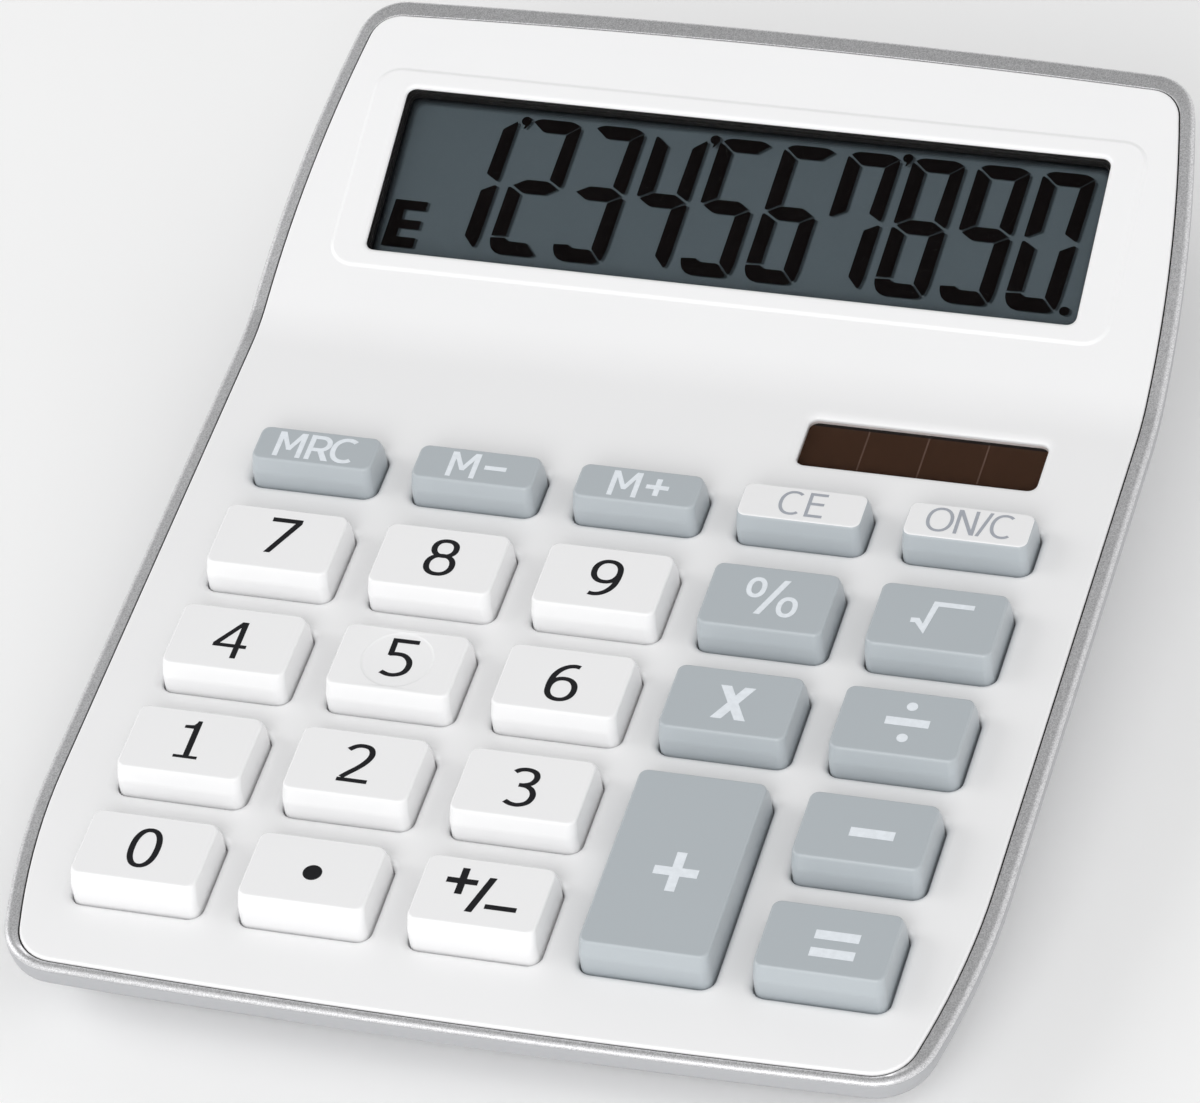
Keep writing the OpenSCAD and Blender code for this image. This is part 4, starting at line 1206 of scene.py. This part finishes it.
DIGIT_PITCH = 9.32
DIGIT_PLACE = 7
DISPLAY_SHIFT = -0.25
SEGMENTS = {
    "a": [
        (23.75, 37.85), (24.2, 38.2), (24.95, 38.45), (29.2, 38.45), (29.9, 38.25), (30.6, 37.8),
        (28.85, 36.35), (25.5, 36.35),
    ],
    "b": [
        (30.7, 37.65), (30.88, 37.25), (30.8, 36.0), (30.22, 28.2), (29.95, 27.7), (28.2, 28.8),
        (28.9, 36.2),
    ],
    "c": [
        (29.85, 27.1), (30.2, 26.9), (30.1, 25.5), (29.6, 18.6), (29.3, 17.2), (29.0, 16.8),
        (27.4, 18.6), (28.0, 26.05),
    ],
    "d": [
        (21.85, 18.75), (21.95, 17.9), (22.35, 17.0), (23.0, 16.4), (23.7, 16.2), (27.9, 16.2),
        (28.45, 16.35), (28.75, 16.65), (27.2, 18.4), (24.75, 18.4), (24.25, 18.55), (24.0, 18.9),
    ],
    "e": [(22.5, 27.0), (22.85, 27.1), (24.55, 26.0), (24.05, 19.2), (21.9, 19.03)],
    "f": [(23.3, 37.35), (23.5, 37.6), (25.35, 36.1), (24.85, 28.8), (22.95, 27.7), (22.6, 27.85)],
    "g": [(23.1, 27.4), (24.95, 28.5), (28.05, 28.5), (29.65, 27.4), (28.0, 26.3), (24.75, 26.3)],
}
DIGITS = {
    "1": "bc", "2": "abged", "3": "abgcd", "4": "fgbc", "5": "afgcd",
    "6": "afgedc", "7": "fabc", "8": "abcdefg", "9": "abcdfg", "0": "abcdef",
}
SEPARATORS = [(-33.27, 37.87), (-5.45, 37.98), (22.52, 38.16)]
DISPLAY_POINT = (49.16, 16.83)
ERROR_LETTER = [
    (-49.16, 23.22), (-49.58, 15.65), (-44.88, 15.65), (-44.8, 17.29), (-47.7, 17.29),
    (-47.62, 18.65), (-44.7, 18.65), (-44.62, 20.08), (-47.55, 20.08), (-47.5, 21.73),
    (-44.42, 21.73), (-44.35, 23.22),
]


POINT_R = 0.72
TAIL = [(-0.2, -1.3), (0.1, -1.25), (0.64, -0.3), (0, -0.5)]
SEGMENT_LIFT = 0.06


def display_shapes():
    """Outlines of all that the display shows, in its x and s."""
    shapes = []
    for place, digit in enumerate("1234567890"):
        segments = [SEGMENTS[name] for name in DIGITS[digit]]
        shapes += moved(segments, (place - DIGIT_PLACE) * DIGIT_PITCH, 0)
    for spot in SEPARATORS:
        shapes += [circle(*spot, POINT_R, 20)] + moved([TAIL], *spot)
    shapes += [circle(*DISPLAY_POINT, POINT_R, 20), ERROR_LETTER]
    return moved(shapes, DISPLAY_SHIFT, 0)


def make_segments():
    """The display's segments, printed just above its reflector."""
    shell = Shell()
    shell.cover(display_shapes(), SEGMENT_LIFT - GLASS_DEPTH, DISPLAY)
    shell.piece("lcd_segments", "lcd", (), [FINISHES["lcd_segment"]])


SHADE_OFFSETS = ((0.3, -0.1), (0.42, -0.13), (0.54, -0.17))
SHADE_STEP = 0.006
SHADE_SHARE = 0.2
EDGE_SHADES = 5


def make_shades():
    """The segments' shadows, and the darkening along the walls at the left and the back."""
    shell = Shell()
    level = 0
    for dx, ds in SHADE_OFFSETS:
        level += 1
        shell.cover(moved(display_shapes(), dx, ds), SHADE_STEP * level - GLASS_DEPTH, DISPLAY)
    rim = rounded(0, LCD_S, LCD_W + 0.4, LCD_H + 0.4, LCD_R)
    for i in range(EDGE_SHADES):
        level += 1
        near, far = 0.1 + 0.06 * i, 0.5 + 0.26 * i
        shift, less = (far - near) / 2, near + far
        hole = rounded(shift, LCD_S - shift, LCD_W - less, LCD_H - less, LCD_R)
        shell.plate(rim, [hole], SHADE_STEP * level - GLASS_DEPTH, DISPLAY)
    made = Finish("lcd_shade", (0.006, 0.006, 0.007), 0.8, specular_ior_level=0.0)
    shade = made.blend(SHADE_SHARE, made.see_through(), made.shader)
    shell.piece("lcd_shades", "lcd", (), [shade])


def make_gasket():
    """The black wall of the display's opening, from below its lip to the bezel."""
    shell = Shell()
    profile = ((0.02, -0.28), (-0.06, -0.3), (-0.08, -GLASS_DEPTH), (0.02, -GLASS_DEPTH))
    closed = profile + profile[:1]
    shell.bridge([shell.level(DISPLAY, rounded(*LCD_BOX, grow), z) for grow, z in closed])
    shell.piece("lcd_gasket", "black_plastic")


def make_solar_lines():
    """Pale dividers between the solar cell's four strips, and the dark edge along its back."""
    shell = Shell()
    x, y = place_of("solar_cell", DECK)[:2]
    top = local_box("solar_cell", DECK)[1].z

    def bar(cx, cy, w, d, lift, kind):
        outline = rounded(cx, cy, w, d, 0.1, steps=2)
        shell.face(shell.level(DECK, outline, top + lift), kind)

    for i in (-1, 0, 1):
        bar(x + i * SOLAR_W / 4, y, 0.22, SOLAR_D + 1.0, 0.02, 0)
    bar(x, y + SOLAR_D / 2, SOLAR_W + 1, 1.1, 0.03, 1)
    pale = printed("solar_divider", (0.15, 0.1, 0.08))
    shell.piece("solar_cell_dividers", "solar", (), [pale, FINISHES["black_plastic"]])


# ---- stage ----

SENSOR_W = 36.0
LENS = 207.06
CAMERA_SPOT = (250.107, -525.221, 653.650)
CAMERA_TURN = (2.3527, 0.2704, -0.2726)
FLOOR_W = 6.0
LOOKED_AT = (0, 0, 0.02)


def photo_camera():
    """The photograph's camera, from its place and turn in the deck frame."""
    data = bpy.data.cameras.new("camera")
    data.sensor_width = SENSOR_W
    data.lens = LENS
    data.clip_start = 0.01
    turn = Vector(CAMERA_TURN)
    turn = Matrix.Rotation(-turn.length, 4, turn) @ Matrix.Diagonal((1, -1, -1, 1))
    spot = Matrix.Translation(DECK @ Vector(CAMERA_SPOT) * MM)
    camera = add("camera", data)
    camera.matrix_world = spot @ Matrix.Rotation(DECK_TILT, 4, "X") @ turn
    bpy.context.scene.camera = camera


def make_floor():
    """The pale floor, with its sizes in metres."""
    mesh = bpy.data.meshes.new("floor")
    corners = [(x, y, 0) for x, y in block(0, 0, FLOOR_W, FLOOR_W)]
    mesh.from_pydata(corners, [], [(0, 1, 2, 3)])
    made = Finish("floor", (0.95, 0.95, 0.95), 0.8)
    made.tint(0.004, 60)
    mesh.materials.append(made.material)
    floor = add("floor", mesh)


def lamp(name, place, size, power):
    """A soft square lamp that looks at the object."""
    data = bpy.data.lights.new(name, "AREA")
    data.shape = "SQUARE"
    data.size = size
    data.energy = power
    made = add(name, data)
    made.location = place
    way = Vector(LOOKED_AT) - Vector(place)
    made.rotation_euler = way.to_track_quat("-Z", "Y").to_euler()


DARK_WAY = (-0.27, 0.32, 0.91)
DARK_ANGLES = (40, 22)
DARK_SHARE = 0.03
SKY_LIGHT = 0.92


def light_stage():
    """An even white sky with a dark part where the windows would mirror it, and two lamps."""
    world = bpy.data.worlds.new("world")
    nodes = Nodes(world)
    towards = nodes.node("VectorMath")
    towards.operation = "DOT_PRODUCT"
    towards.inputs[1].default_value = Vector(DARK_WAY).normalized()
    nodes.tree.links.new(nodes.node("TexCoord").outputs["Generated"], towards.inputs[0])
    edge, core = (cos(radians(angle)) for angle in DARK_ANGLES)
    fade = nodes.node("MapRange", value=towards.outputs["Value"], from_min=edge, from_max=core)
    fade.interpolation_type = "SMOOTHSTEP"
    nodes.feed(fade, to_min=SKY_LIGHT, to_max=SKY_LIGHT * DARK_SHARE)
    sky = nodes.tree.nodes["Background"]
    nodes.feed(sky, color=(1, 1, 1, 1), strength=fade.outputs["Result"])
    bpy.context.scene.world = world
    lamp("front_lamp", (0.1, -1.35, 0.9), 0.9, 9.5)
    lamp("left_lamp", (-1.3, -0.1, 0.9), 0.8, 4)
    bpy.context.scene.view_settings.view_transform = "Standard"


dress_cad_nodes()
make_cover()
make_frame()
make_seam_shade()
make_lower_case()
make_feet()
make_screws()
for key in KEYS:
    make_key(key)
    make_legend(key)
make_mat()
make_segments()
make_shades()
make_gasket()
make_solar_lines()
photo_camera()
make_floor()
light_stage()
